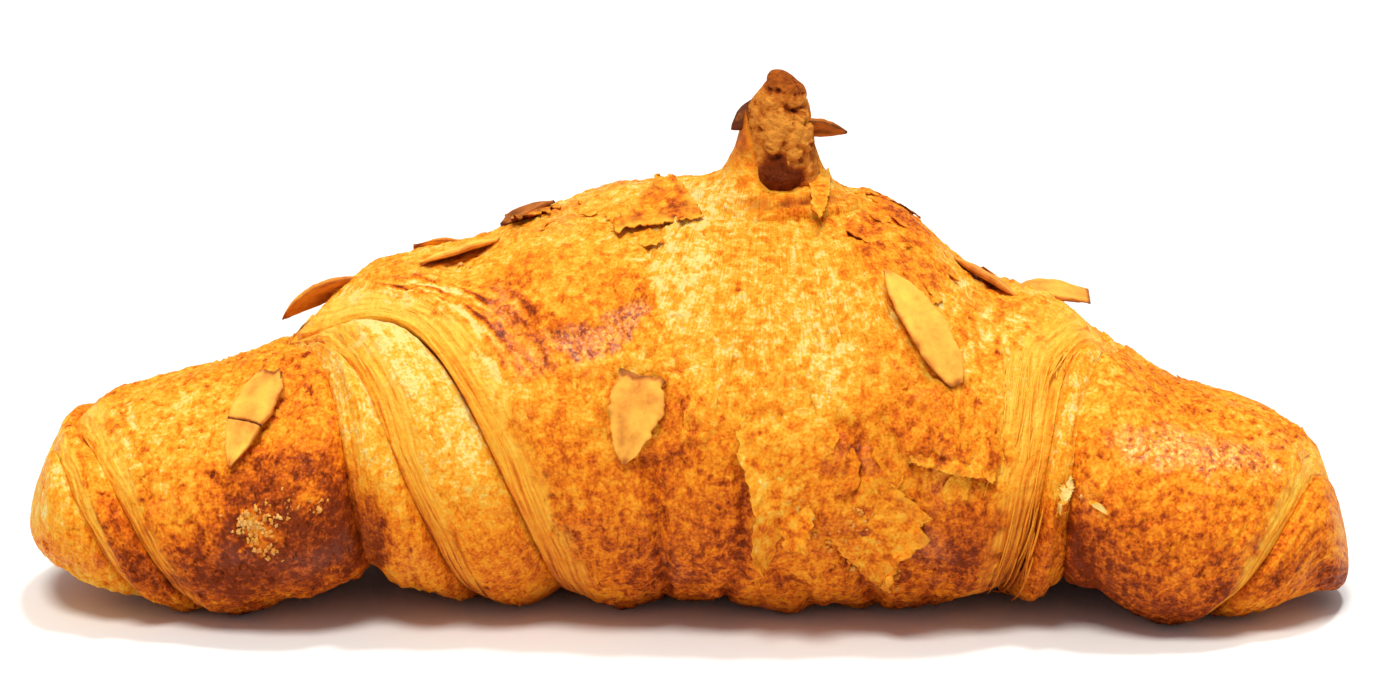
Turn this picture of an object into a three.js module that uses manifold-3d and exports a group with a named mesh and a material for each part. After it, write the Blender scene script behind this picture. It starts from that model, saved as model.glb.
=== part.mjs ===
// An almond croissant: laminated dough rolled into a gentle crescent, with a peak of baked
// almond paste burst through the crown and sliced almonds stuck to the crust.
// Millimetres, +Z up. +X runs along the roll, -Y is the front, and the base rests on Z = 0.

import * as THREE from "three";
import { mergeVertices } from "three/addons/utils/BufferGeometryUtils.js";
import Module from "manifold-3d";

const wasm = await Module();
wasm.setup();

// Driving dimensions of the roll
const LENGTH = 180;
const DEPTH = 75;
const CROWN_HEIGHT = 54;
const HALF_LENGTH = LENGTH / 2;
const HALF_DEPTH = DEPTH / 2;
const FRAME_SHIFT_Y = 1.3; // moves the crown line so that the footprint is centred on the origin
const TIP_ROUNDING = 5; // length over which each tip closes
const WAIST_SHARE = 0.43; // the widest level of a section, as a share of its height
const BASE_SQUARENESS = 0.8; // how much squarer than an ellipse a section is below the waist
const CROWN_SQUARENESS = 0.15;

// The outline along the roll. Place is a share of half the length, forward and half are shares of
// half the depth, top and under are shares of the crown's height.
const OUTLINE = [
  { place: -1.0, forward: 0.32, half: 0.28, top: 0.305, under: 0.11 },
  { place: -0.945, forward: 0.32, half: 0.41, top: 0.455, under: 0.105 },
  { place: -0.855, forward: 0.31, half: 0.53, top: 0.515, under: 0.04 },
  { place: -0.71, forward: 0.28, half: 0.655, top: 0.58, under: -0.01 },
  { place: -0.6, forward: 0.21, half: 0.75, top: 0.67, under: 0.03 },
  { place: -0.48, forward: 0.13, half: 0.83, top: 0.79, under: 0.06 },
  { place: -0.33, forward: 0.065, half: 0.91, top: 0.855, under: -0.015 },
  { place: -0.19, forward: 0.025, half: 0.96, top: 0.945, under: -0.01 },
  { place: 0.0, forward: 0.015, half: 1.0, top: 1.0, under: -0.01 },
  { place: 0.22, forward: 0.04, half: 1.0, top: 0.985, under: -0.02 },
  { place: 0.33, forward: 0.065, half: 0.96, top: 0.93, under: -0.01 },
  { place: 0.445, forward: 0.11, half: 0.88, top: 0.77, under: 0.005 },
  { place: 0.59, forward: 0.21, half: 0.775, top: 0.7, under: 0.045 },
  { place: 0.71, forward: 0.33, half: 0.695, top: 0.565, under: -0.02 },
  { place: 0.845, forward: 0.375, half: 0.575, top: 0.49, under: 0.015 },
  { place: 0.945, forward: 0.385, half: 0.395, top: 0.4, under: 0.06 },
  { place: 1.0, forward: 0.385, half: 0.25, top: 0.235, under: -0.02 },
];

// The seams between the turns of the roll. Each is a ring round it, given by its place at these
// angles: 0 is the front, 90 the top, 180 the back and -90 the underside.
const SEAM_ANGLES = [-75, -25, 15, 50, 80, 105, 170, 240];
const SEAMS = [
  {
    ring: [-0.79, -0.845, -0.915, -0.95, -0.965, -0.967, -0.93, -0.855],
    depth: 1.7, lip: 3, pillow: 4, outward: -1,
  },
  {
    ring: [-0.7, -0.765, -0.845, -0.9, -0.922, -0.928, -0.86, -0.755],
    depth: 2.4, lip: 4, pillow: 5, outward: -1,
  },
  {
    ring: [-0.472, -0.485, -0.511, -0.548, -0.589, -0.617, -0.583, -0.506],
    depth: 3.2, lip: 4, pillow: 8, outward: -1,
  },
  {
    ring: [-0.3, -0.35, -0.444, -0.522, -0.579, -0.606, -0.5, -0.333],
    depth: 2.6, lip: 5, pillow: 4, outward: -1,
  },
  {
    ring: [-0.167, -0.206, -0.3, -0.417, -0.556, -0.592, -0.389, -0.2],
    depth: 3.6, lip: 6.5, pillow: 9, outward: -1,
  },
  {
    ring: [0.439, 0.489, 0.531, 0.564, 0.611, 0.633, 0.567, 0.467],
    depth: 4.2, lip: 9, pillow: 4, outward: 1,
  },
  {
    ring: [0.583, 0.559, 0.567, 0.6, 0.633, 0.653, 0.622, 0.594],
    depth: 2.8, lip: 4, pillow: 8, outward: 1,
  },
  {
    ring: [0.756, 0.8, 0.894, 0.944, 0.967, 0.972, 0.9, 0.789],
    depth: 2.2, lip: 4, pillow: 5, outward: 1,
  },
];
const TURN_COLUMNS = [4, 3, 9, 4, 7, 22, 4, 10, 5]; // steps along each turn, from the left tip to the right
const AROUND = 48; // steps round the roll
const COLUMN_CROWDING = 0.35; // how strongly the steps crowd towards the seams
const LEAST_RADIUS = 0.25; // share of a section's radius that the seams always leave

// Slow lumps all over: waves crossing the roll, by cycles per mm along it and whole cycles round it
const LUMP_HEIGHT = 0.18;
const LUMP_WAVES = [
  { along: 0.033, round: 2, phase: 0 },
  { along: 0.021, round: -3, phase: 1 },
  { along: 0.054, round: 5, phase: 2 },
];

// The collar of dough pushed up round the paste. It is torn open towards the front right.
const PEAK_X = 12.3;
const PEAK_ANGLE = 92;
const CROWN_RADIUS = 31; // of the section about its waist, near the peak
const COLLAR_HEIGHT = 12;
const COLLAR_THROAT = 3.9; // radius at which the collar is highest
const COLLAR_SPREAD = 2.1; // distance over which the collar falls to a third
const COLLAR_RINGS = [3.9, 4.7, 5.8, 7.4, 9.6, 13];
const COLLAR_TEAR_HEADING = -65; // degrees from +X towards the back
const COLLAR_TEAR = 0.75; // share of the height that is missing there

// The peak of almond paste, from its foot inside the collar to its tip
const PASTE_FOOT_Z = 52;
const PASTE_TIP_Z = 70.6;
const PASTE_LEAN_X = -0.6;
const PASTE_PROFILE = [4.4, 5.3, 5.5, 5.0, 4.7, 4.4, 3.9, 2.9, 1.1]; // radius from foot to tip
const PASTE_ROWS = 14;
const PASTE_AROUND = 18;
const PASTE_CRAG = 0.5; // height of its lumps
const PASTE_TWIST = 9; // how far the lumps wind round, in radians from foot to tip
const PASTE_BANDS = 14; // how often they come and go, in radians from foot to tip

const GAP = 0.3; // clear space round every piece that is set into another
const ALMOND_THICKNESS = 1.2;
const ALMOND_ROWS = 8;
const ALMOND_COLUMNS = 3;
const ALMOND_END = 0.08; // half width at a pointed end, as a share of the slice's half width
const ALMOND_FULLNESS = 0.7; // below 1 the oval is blunter than a sine
const ALMOND_TAPER = 0.16; // how much narrower the far half is, as a share of the width

// Sliced almonds that lie on the crust. Place x and the angle round the roll say where the middle
// is, turn is the heading of the length from +X towards the crown, lift raises the middle off the
// crust, roll tips it across, bend is its arch, and kept is the unbroken share of the length.
const LYING_ALMONDS = [
  { name: "almond_slice_left_horn", x: -57.5, angle: 38, turn: 48,
    length: 18, width: 6.4, lift: 0.4, roll: 0, bend: 1.2, kept: 0.85 },
  { name: "almond_slice_left_ridge", x: -31, angle: 84, turn: 4,
    length: 11.5, width: 6.5, lift: 0.9, roll: -14, bend: 0.3, kept: 1 },
  { name: "almond_slice_left_crown", x: -22, angle: 102, turn: 18,
    length: 8.5, width: 5.5, lift: 0.7, roll: 6, bend: 0.4, kept: 1 },
  { name: "almond_slice_middle", x: -7, angle: 15, turn: 74,
    length: 14, width: 8.4, lift: 0.4, roll: 0, bend: 0.7, kept: 0.85 },
  { name: "almond_slice_right", x: 30.5, angle: 38, turn: -46,
    length: 18.4, width: 6.6, lift: 0.6, roll: 0, bend: 0.9, kept: 1 },
  { name: "almond_slice_right_ridge", x: 40, angle: 91, turn: -8,
    length: 10.8, width: 6, lift: 0.9, roll: -8, bend: 0.4, kept: 1 },
  { name: "almond_slice_back_left", x: -33, angle: 141, turn: 40,
    length: 18, width: 6.6, lift: 0.5, roll: 0, bend: 1, kept: 1 },
  { name: "almond_slice_back_middle", x: 4, angle: 150, turn: -15,
    length: 19, width: 6.8, lift: 0.5, roll: 0, bend: 0.6, kept: 1 },
  { name: "almond_slice_back_right", x: 45, angle: 154, turn: 65,
    length: 17, width: 6.4, lift: 0.5, roll: 0, bend: 1, kept: 0.8 },
];

// Sliced almonds held by one end, in the crust or in the paste, with the other end in the air.
// From and to are the two ends of the length, and across is the heading of the width.
const HELD_ALMONDS = [
  { name: "almond_slice_left_shoulder", from: [-56, 0, 35.4], to: [-43.2, 0, 41.2],
    across: [0, 1, -0.7], width: 6.6, bend: 1.2 },
  { name: "almond_slice_right_shoulder", from: [44.6, 1.5, 39.4], to: [55.2, 1.5, 38.2],
    across: [0, 1, 0.1], width: 6.6, bend: 0.5 },
  { name: "almond_slice_peak_right", from: [12.8, -0.6, 63.1], to: [21.6, 0, 61.8],
    across: [0, 1, -0.8], width: 4.4, bend: 0 },
  { name: "almond_slice_peak_left", from: [5.8, -0.8, 62.4], to: [12, 3, 66.4],
    across: [0.1, 0.5, 1], width: 4.2, bend: 0 },
];

// Torn flakes of crust that stand off the roll. Along and round are its sizes; lift is the height of
// its edge, ragged is how uneven the edge is, and point draws its lower end out into a tongue.
const FLAKES = [
  { x: 12.5, angle: 4, along: 11, round: 15, lift: 0.9, ragged: 0.07, point: 0.3 },
  { x: 24, angle: -7, along: 12, round: 12, lift: 0.9, ragged: 0.1, point: 0.1 },
  { x: 37.5, angle: 14, along: 11, round: 8, lift: 1.0, ragged: 0.06, point: 0 },
  { x: -5, angle: 82, along: 9, round: 6, lift: 1.3, ragged: 0.08, point: 0 },
  { x: 24.5, angle: 82, along: 9, round: 6, lift: 1.3, ragged: 0.08, point: 0 },
  { x: -12, angle: 36, along: 11, round: 6, lift: 0.6, ragged: 0.09, point: 0 },
  { x: -10, angle: 165, along: 13, round: 15, lift: 0.9, ragged: 0.09, point: 0.2 },
  { x: 24, angle: 172, along: 12, round: 13, lift: 0.9, ragged: 0.09, point: 0 },
  { x: -64, angle: 160, along: 9, round: 8, lift: 0.7, ragged: 0.09, point: 0 },
];
const FLAKE_RINGS = [0.35, 0.7, 1]; // shares of the flake's reach
const FLAKE_SIDES = 14;
const PATCH_ROOT = 0.8; // depth to which a flake or the collar runs into the crust
const WELD = 1e-4; // points closer than this are one

// A cubic curve through the points: its slope at each is that of the line between its neighbours.
function curveThrough(places, values) {
  const last = places.length - 1;
  const slopes = values.map((_, i) => {
    const before = Math.max(i - 1, 0);
    const after = Math.min(i + 1, last);
    return (values[after] - values[before]) / (places[after] - places[before]);
  });
  return (at) => {
    let i = 0;
    while (i < last - 1 && at > places[i + 1]) i += 1;
    const step = places[i + 1] - places[i];
    const t = THREE.MathUtils.clamp((at - places[i]) / step, 0, 1);
    const back = 1 - t;
    return (
      (1 + 2 * t) * back * back * values[i] +
      t * back * back * step * slopes[i] +
      t * t * (3 - 2 * t) * values[i + 1] -
      t * t * back * step * slopes[i + 1]
    );
  };
}

// The same curve run round and round, for values given at angles.
function ringThrough(angles, values) {
  const turns = [-360, 0, 360];
  const curve = curveThrough(
    turns.flatMap((turn) => angles.map((angle) => angle + turn)),
    turns.flatMap(() => values),
  );
  return (angle) => curve(THREE.MathUtils.euclideanModulo(angle + 90, 360) - 90);
}

const places = OUTLINE.map((station) => station.place * HALF_LENGTH);
const outlineOf = (key, size) =>
  curveThrough(places, OUTLINE.map((station) => station[key] * size));
const forwardAt = outlineOf("forward", HALF_DEPTH);
const halfAt = outlineOf("half", HALF_DEPTH);
const topAt = outlineOf("top", CROWN_HEIGHT);
const underAt = outlineOf("under", CROWN_HEIGHT);
const seams = SEAMS.map((seam) => ({
  ...seam,
  at: ringThrough(SEAM_ANGLES, seam.ring.map((share) => share * HALF_LENGTH)),
}));

// How far the crust dips beside the seams: a rounded pillow edge on the turn below, and a straight
// slope on the lip of the turn that lies over it.
function seamDip(x, angle) {
  let dip = 0;
  for (const seam of seams) {
    const outside = (x - seam.at(angle)) * seam.outward;
    const near = 1 - Math.abs(outside) / (outside > 0 ? seam.pillow : seam.lip);
    if (near <= 0) continue;
    const shape = outside > 0 ? 1 - Math.sqrt(1 - near * near) : near;
    dip = Math.max(dip, seam.depth * shape);
  }
  return dip;
}

// The slow lumps' height: the waves added up.
function lumpsAt(x, turn) {
  let height = 0;
  for (const { along, round, phase } of LUMP_WAVES) {
    height += LUMP_HEIGHT * Math.sin(2 * Math.PI * along * x + round * turn + phase);
  }
  return height;
}

// A point of the crust: a squared ellipse about the section's waist, closed at the tips, dipped at
// the seams and cut off level at the base.
function crustPoint(x, angle, lift = 0) {
  const turn = THREE.MathUtils.degToRad(angle);
  const c = Math.cos(turn);
  const s = Math.sin(turn);
  const top = topAt(x);
  const under = underAt(x);
  const waist = under + WAIST_SHARE * (top - under);
  const rise = s > 0 ? top - waist : waist - under;
  const power = 2 + (s > 0 ? CROWN_SQUARENESS * s : -BASE_SQUARENESS * s);
  const reach = (Math.abs(c / halfAt(x)) ** power + Math.abs(s / rise) ** power) ** (-1 / power);
  const closing = THREE.MathUtils.clamp((Math.abs(x) - HALF_LENGTH + TIP_ROUNDING) / TIP_ROUNDING, 0, 1);
  const closed = Math.sqrt(1 - closing * closing);
  const relief = lumpsAt(x, turn) - seamDip(x, angle);
  const radius = closed * Math.max(reach + relief, LEAST_RADIUS * reach) + lift;
  return new THREE.Vector3(
    x,
    FRAME_SHIFT_Y - forwardAt(x) - radius * c,
    Math.max(waist + radius * s, 0),
  );
}

// Directions at a point of the crust: along the roll, round it towards the crown, and outwards.
function crustFrame(x, angle) {
  const step = 1;
  const along = crustPoint(x + step, angle).sub(crustPoint(x - step, angle)).normalize();
  const round = crustPoint(x, angle + step).sub(crustPoint(x, angle - step)).normalize();
  const out = new THREE.Vector3().crossVectors(along, round).normalize();
  round.crossVectors(out, along);
  return { along, round, out };
}

// A solid from points and triangles, turned to face out.
function solidFrom(points, triangles) {
  const vertProperties = new Float32Array(points.flatMap((p) => [p.x, p.y, p.z]));
  const build = (faces) =>
    new wasm.Manifold(
      new wasm.Mesh({ numProp: 3, vertProperties, triVerts: new Uint32Array(faces.flat()) }),
    );
  const solid = build(triangles);
  return solid.volume() > 0 ? solid : build(triangles.map(([a, b, c]) => [a, c, b]));
}

// A solid from a tube of rings between two end points.
function tubeSolid(first, rings, last) {
  const around = rings[0].length;
  const points = [first, ...rings.flat(), last];
  const at = (ring, i) => 1 + ring * around + (i % around);
  const triangles = [];
  for (let i = 0; i < around; i += 1) {
    triangles.push([0, at(0, i), at(0, i + 1)]);
    triangles.push([points.length - 1, at(rings.length - 1, i + 1), at(rings.length - 1, i)]);
    for (let ring = 0; ring < rings.length - 1; ring += 1) {
      triangles.push([at(ring, i), at(ring + 1, i), at(ring + 1, i + 1)]);
      triangles.push([at(ring, i), at(ring + 1, i + 1), at(ring, i + 1)]);
    }
  }
  return solidFrom(points, triangles);
}

// A thin solid between an upper and a lower grid of points.
function plateSolid(upper, lower) {
  const rows = upper.length;
  const columns = upper[0].length;
  const points = [...upper.flat(), ...lower.flat()];
  const top = (i, j) => i * columns + j;
  const bottom = (i, j) => rows * columns + top(i, j);
  const triangles = [];
  const quad = (a, b, c, d) => triangles.push([a, b, c], [a, c, d]);
  for (let i = 0; i < rows - 1; i += 1) {
    for (let j = 0; j < columns - 1; j += 1) {
      quad(top(i, j), top(i + 1, j), top(i + 1, j + 1), top(i, j + 1));
      quad(bottom(i, j), bottom(i, j + 1), bottom(i + 1, j + 1), bottom(i + 1, j));
    }
    quad(top(i, 0), bottom(i, 0), bottom(i + 1, 0), top(i + 1, 0));
    quad(top(i + 1, columns - 1), bottom(i + 1, columns - 1), bottom(i, columns - 1), top(i, columns - 1));
  }
  for (let j = 0; j < columns - 1; j += 1) {
    quad(top(0, j + 1), bottom(0, j + 1), bottom(0, j), top(0, j));
    quad(top(rows - 1, j), bottom(rows - 1, j), bottom(rows - 1, j + 1), top(rows - 1, j + 1));
  }
  return solidFrom(points, triangles);
}

// The largest body of a solid, without loose scraps.
function wholeBody(solid) {
  return solid.decompose().reduce((best, body) => (body.volume() > best.volume() ? body : best));
}

// The roll: rings of crust points whose columns follow the seams and crowd towards them and the tips.
function rollSolid() {
  const edges = [() => -HALF_LENGTH, ...seams.map((seam) => seam.at), () => HALF_LENGTH];
  const lastTurn = TURN_COLUMNS.length - 1;
  const rings = [];
  TURN_COLUMNS.forEach((columns, turn) => {
    for (let column = turn === 0 ? 1 : 0; column < columns; column += 1) {
      const share = column / columns;
      let across = share - (COLUMN_CROWDING / (2 * Math.PI)) * Math.sin(2 * Math.PI * share);
      if (turn === 0) across = 1 - Math.cos((share * Math.PI) / 2);
      if (turn === lastTurn) across = Math.sin((share * Math.PI) / 2);
      const ring = [];
      for (let i = 0; i < AROUND; i += 1) {
        const angle = (360 * i) / AROUND - 90;
        const x = THREE.MathUtils.lerp(edges[turn](angle), edges[turn + 1](angle), across);
        ring.push(crustPoint(x, angle));
      }
      rings.push(ring);
    }
  });
  return tubeSolid(crustPoint(-HALF_LENGTH, 0), rings, crustPoint(HALF_LENGTH, 0));
}

// A patch of crust rooted in the roll. Each ring gives, for a heading, its reach in mm along the roll
// and round it, and its lift off the crust.
function patchSolid(x, angle, sides, rings, middleLift) {
  const degreesPerMm = THREE.MathUtils.radToDeg(1 / CROWN_RADIUS);
  const pointAt = ({ along, round, lift }) => crustPoint(x + along, angle + round * degreesPerMm, lift);
  const headings = Array.from({ length: sides }, (_, i) => (2 * Math.PI * i) / sides);
  const raised = rings.map((ring) => headings.map((heading) => pointAt(ring(heading))));
  const edge = rings[rings.length - 1];
  const rooted = headings.map((heading) => pointAt({ ...edge(heading), lift: -PATCH_ROOT }));
  return tubeSolid(
    crustPoint(x, angle, middleLift),
    [...raised, rooted],
    crustPoint(x, angle, -PATCH_ROOT),
  );
}

// A torn flake: a ragged oval, highest at its edge.
function flakeSolid({ x, angle, along, round, lift, ragged, point }) {
  const rings = FLAKE_RINGS.map((share) => (heading) => {
    const uneven = 1 + ragged * (Math.sin(3 * heading + x) + Math.sin(5 * heading + angle));
    const tongue = 1 + point * Math.max(-Math.sin(heading), 0) ** 3;
    const reach = (share * uneven * tongue) / 2;
    return {
      along: along * reach * Math.cos(heading),
      round: round * reach * Math.sin(heading),
      lift: lift * (0.5 + 0.5 * share),
    };
  });
  return patchSolid(x, angle, FLAKE_SIDES, rings, lift / 2);
}

// The collar: highest at its throat, falling away outside it, and low where it is torn.
function collarSolid() {
  const tear = THREE.MathUtils.degToRad(COLLAR_TEAR_HEADING);
  const rings = COLLAR_RINGS.map((radius) => (heading) => {
    const torn = 1 - COLLAR_TEAR * Math.max(Math.cos(heading - tear), 0);
    const fall = Math.exp((COLLAR_THROAT - radius) / COLLAR_SPREAD);
    return {
      along: radius * Math.cos(heading),
      round: radius * Math.sin(heading),
      lift: COLLAR_HEIGHT * torn * fall,
    };
  });
  return patchSolid(PEAK_X, PEAK_ANGLE, PASTE_AROUND, rings, 0);
}

// A slice of almond: a pointed oval plate with an arched length, grown by a margin on every side.
// The broken end of a slice is where its kept share stops.
function almondSolid(middle, along, across, { length, width, bend, kept }, margin) {
  const out = new THREE.Vector3().crossVectors(along, across).normalize();
  const gridAt = (height) =>
    Array.from({ length: ALMOND_ROWS + 1 }, (_, i) => {
      const share = (kept * i) / ALMOND_ROWS;
      const oval = Math.sin(Math.PI * THREE.MathUtils.clamp(share, 0, 1)) ** ALMOND_FULLNESS;
      const taper = 1 + ALMOND_TAPER * (0.5 - share);
      const half = (width / 2) * Math.max(oval * taper, ALMOND_END) + margin;
      const end = i === 0 ? -margin : i === ALMOND_ROWS ? margin : 0;
      const reach = (share - 0.5) * length + end;
      const arch = bend * (1 - 4 * (share - 0.5) ** 2);
      return Array.from({ length: ALMOND_COLUMNS + 1 }, (_, j) => {
        const side = (2 * j) / ALMOND_COLUMNS - 1;
        return middle
          .clone()
          .addScaledVector(along, reach)
          .addScaledVector(across, half * side)
          .addScaledVector(out, height + arch);
      });
    });
  const half = ALMOND_THICKNESS / 2 + margin;
  return plateSolid(gridAt(half), gridAt(-half));
}

// Where a slice lies on the crust, turned and tipped as it is given.
function lyingAlmond(slice, margin) {
  const { along, round, out } = crustFrame(slice.x, slice.angle);
  const turn = THREE.MathUtils.degToRad(slice.turn);
  const length = along.clone().multiplyScalar(Math.cos(turn)).addScaledVector(round, Math.sin(turn));
  const width = new THREE.Vector3().crossVectors(out, length);
  width.applyAxisAngle(length, THREE.MathUtils.degToRad(slice.roll));
  const middle = crustPoint(slice.x, slice.angle).addScaledVector(out, slice.lift);
  return almondSolid(middle, length, width, slice, margin);
}

// A slice between two ends, one of them held.
function heldAlmond(slice, margin) {
  const shift = new THREE.Vector3(0, FRAME_SHIFT_Y, 0);
  const from = new THREE.Vector3(...slice.from).add(shift);
  const to = new THREE.Vector3(...slice.to).add(shift);
  const along = to.clone().sub(from);
  const length = along.length();
  along.normalize();
  const across = new THREE.Vector3(...slice.across);
  across.addScaledVector(along, -across.dot(along)).normalize();
  return almondSolid(from.lerp(to, 0.5), along, across, { ...slice, length, kept: 1 }, margin);
}

// The peak of paste: a leaning stack of lumpy rings.
function pasteSolid(margin) {
  const shares = PASTE_PROFILE.map((_, i) => i / (PASTE_PROFILE.length - 1));
  const radiusAt = curveThrough(shares, PASTE_PROFILE);
  const foot = crustPoint(PEAK_X, PEAK_ANGLE);
  const centreAt = (share) =>
    new THREE.Vector3(
      PEAK_X + PASTE_LEAN_X * (share - 0.5),
      foot.y,
      THREE.MathUtils.lerp(PASTE_FOOT_Z - margin, PASTE_TIP_Z + margin, share),
    );
  const rings = Array.from({ length: PASTE_ROWS }, (_, row) => {
    const share = row / PASTE_ROWS;
    return Array.from({ length: PASTE_AROUND }, (_, i) => {
      const heading = (2 * Math.PI * i) / PASTE_AROUND;
      const wound = Math.sin(3 * heading + PASTE_TWIST * share);
      const banded = Math.sin(2 * heading + PASTE_BANDS * share);
      const radius = radiusAt(share) + PASTE_CRAG * wound * banded + margin;
      return centreAt(share).add(
        new THREE.Vector3(radius * Math.cos(heading), radius * Math.sin(heading), 0),
      );
    });
  });
  return tubeSolid(centreAt(0), rings, centreAt(1));
}

// A named mesh of a solid, with its finish.
function meshOf(name, solid, finish) {
  const { vertProperties, triVerts } = wholeBody(solid).getMesh();
  const geometry = new THREE.BufferGeometry();
  geometry.setAttribute("position", new THREE.BufferAttribute(vertProperties, 3));
  geometry.setIndex(new THREE.BufferAttribute(triVerts, 1));
  const merged = mergeVertices(geometry, WELD);
  merged.computeVertexNormals();
  const mesh = new THREE.Mesh(merged, finish);
  mesh.name = name;
  return mesh;
}

const crustFinish = new THREE.MeshStandardMaterial({ color: 0xd98a35, roughness: 0.5, metalness: 0 });
const pasteFinish = new THREE.MeshStandardMaterial({ color: 0x9c5a22, roughness: 0.8, metalness: 0 });
const almondFinish = new THREE.MeshStandardMaterial({ color: 0xe2b25f, roughness: 0.6, metalness: 0 });

const almonds = [
  ...LYING_ALMONDS.map((slice) => ({ slice, make: lyingAlmond })),
  ...HELD_ALMONDS.map((slice) => ({ slice, make: heldAlmond })),
];

let roll = rollSolid().add(collarSolid());
for (const flake of FLAKES) roll = roll.add(flakeSolid(flake));
roll = roll.subtract(pasteSolid(GAP));
let paste = pasteSolid(0);
for (const { slice, make } of almonds) {
  roll = roll.subtract(make(slice, GAP));
  paste = paste.subtract(make(slice, GAP));
}

const croissant = new THREE.Group();
croissant.add(meshOf("croissant_roll", roll, crustFinish));
croissant.add(meshOf("almond_paste_peak", paste, pasteFinish));
for (const { slice, make } of almonds) {
  croissant.add(meshOf(slice.name, make(slice, 0), almondFinish));
}

export default croissant;
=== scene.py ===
"""Almond croissant: the baked crust, its layered lips and torn flakes, the paste peak and the almonds.

Every surface is worked out in millimetres in the part's frame (+X along the roll, -Y to the front,
+Z up) and stored in metres. Places read off the photograph are in its 1400 x 689 pixel frame.
"""
import math

import bpy
import numpy as np
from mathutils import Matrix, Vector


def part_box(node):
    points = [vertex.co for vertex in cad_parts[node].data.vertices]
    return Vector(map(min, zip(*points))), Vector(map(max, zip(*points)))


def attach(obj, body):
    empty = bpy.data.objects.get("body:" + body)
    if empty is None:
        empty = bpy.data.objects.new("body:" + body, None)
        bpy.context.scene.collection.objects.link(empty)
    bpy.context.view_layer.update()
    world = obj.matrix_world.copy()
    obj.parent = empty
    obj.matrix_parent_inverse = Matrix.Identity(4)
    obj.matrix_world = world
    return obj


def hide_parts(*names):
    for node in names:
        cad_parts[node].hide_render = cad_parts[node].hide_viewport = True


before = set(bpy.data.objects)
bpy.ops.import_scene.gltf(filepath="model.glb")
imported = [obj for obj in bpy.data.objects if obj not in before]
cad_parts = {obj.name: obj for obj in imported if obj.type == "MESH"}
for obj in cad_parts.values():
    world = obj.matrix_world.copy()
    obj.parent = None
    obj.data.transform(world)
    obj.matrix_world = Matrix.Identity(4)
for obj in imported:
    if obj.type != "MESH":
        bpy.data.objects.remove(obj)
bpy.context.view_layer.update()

MM = 0.001
_, ROLL_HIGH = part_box("croissant_roll")
HALF_LENGTH = ROLL_HIGH.x / MM

# Form of the roll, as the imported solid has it
HALF_DEPTH = 37.5
CROWN_HEIGHT = 54.0
FRAME_SHIFT_Y = 1.3
TIP_ROUNDING = 5.0
WAIST_SHARE = 0.43
BASE_SQUARENESS = 0.8
CROWN_SQUARENESS = 0.15
LEAST_RADIUS = 0.25
CROWN_RADIUS = 31.0

# Place along the roll (share of half its length), then forward and half depth (shares of half the
# depth), then top and underside (shares of the crown's height)
OUTLINE = np.array([
    (-1.0, 0.32, 0.28, 0.305, 0.11),
    (-0.945, 0.32, 0.41, 0.455, 0.105),
    (-0.855, 0.31, 0.53, 0.515, 0.04),
    (-0.71, 0.28, 0.655, 0.58, -0.01),
    (-0.6, 0.21, 0.75, 0.67, 0.03),
    (-0.48, 0.13, 0.83, 0.79, 0.06),
    (-0.33, 0.065, 0.91, 0.855, -0.015),
    (-0.19, 0.025, 0.96, 0.945, -0.01),
    (0.0, 0.015, 1.0, 1.0, -0.01),
    (0.22, 0.04, 1.0, 0.985, -0.02),
    (0.33, 0.065, 0.96, 0.93, -0.01),
    (0.445, 0.11, 0.88, 0.77, 0.005),
    (0.59, 0.21, 0.775, 0.7, 0.045),
    (0.71, 0.33, 0.695, 0.565, -0.02),
    (0.845, 0.375, 0.575, 0.49, 0.015),
    (0.945, 0.385, 0.395, 0.4, 0.06),
    (1.0, 0.385, 0.25, 0.235, -0.02),
])
FORWARD, DEPTH, TOP, UNDERSIDE = 1, 2, 3, 4

# Each seam's ring is its place along the roll at these angles: 0 front, 90 top, 180 back.
# Depth, lip and pillow are in mm; outward points to the roll's nearer tip; layers are the sheets
# of dough that show in the lip, and edge is the share of the depth to which the lip falls. Sheets is the
# share of the lip's fall that is in steps, show and streaks are how much of its layers and of the streaks
# beside it shows, and top is the share of the depth that is left over the crown.
SEAM_ANGLES = np.array([-75, -25, 15, 50, 80, 105, 170, 240], float)
SEAMS = [
    dict(ring=(-0.79, -0.845, -0.915, -0.95, -0.965, -0.967, -0.93, -0.855),
         depth=1.7, lip=3.0, edge=0.95, pillow=4.0, outward=-1, layers=2, sheets=0.1),
    dict(ring=(-0.7, -0.765, -0.845, -0.9, -0.922, -0.928, -0.86, -0.755),
         depth=2.4, lip=4.0, edge=0.9, pillow=5.0, outward=-1, layers=3, sheets=0.12),
    dict(ring=(-0.472, -0.485, -0.511, -0.548, -0.589, -0.617, -0.583, -0.506),
         depth=3.2, lip=4.0, edge=1.0, pillow=8.0, outward=-1, layers=2, show=0.25),
    dict(ring=(-0.3, -0.35, -0.444, -0.522, -0.579, -0.606, -0.5, -0.333),
         depth=2.6, lip=5.0, edge=0.85, pillow=4.0, outward=-1, layers=4),
    dict(ring=(-0.167, -0.206, -0.3, -0.417, -0.556, -0.592, -0.389, -0.2),
         depth=3.6, lip=6.5, edge=0.5, streaks=0.9, pillow=9.0, outward=-1, layers=5),
    dict(ring=(0.439, 0.489, 0.531, 0.564, 0.611, 0.633, 0.567, 0.467),
         depth=4.2, lip=9.0, edge=0.8, pillow=4.0, outward=1, layers=5, sheets=0.08, top=0.5),
    dict(ring=(0.583, 0.559, 0.567, 0.6, 0.633, 0.653, 0.622, 0.594),
         depth=2.8, lip=4.0, edge=1.0, pillow=8.0, outward=1, layers=2, show=0.0, top=0.5),
    dict(ring=(0.756, 0.8, 0.894, 0.944, 0.967, 0.972, 0.9, 0.789),
         depth=2.2, lip=4.0, edge=0.95, pillow=5.0, outward=1, layers=2, sheets=0.08),
]

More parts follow.
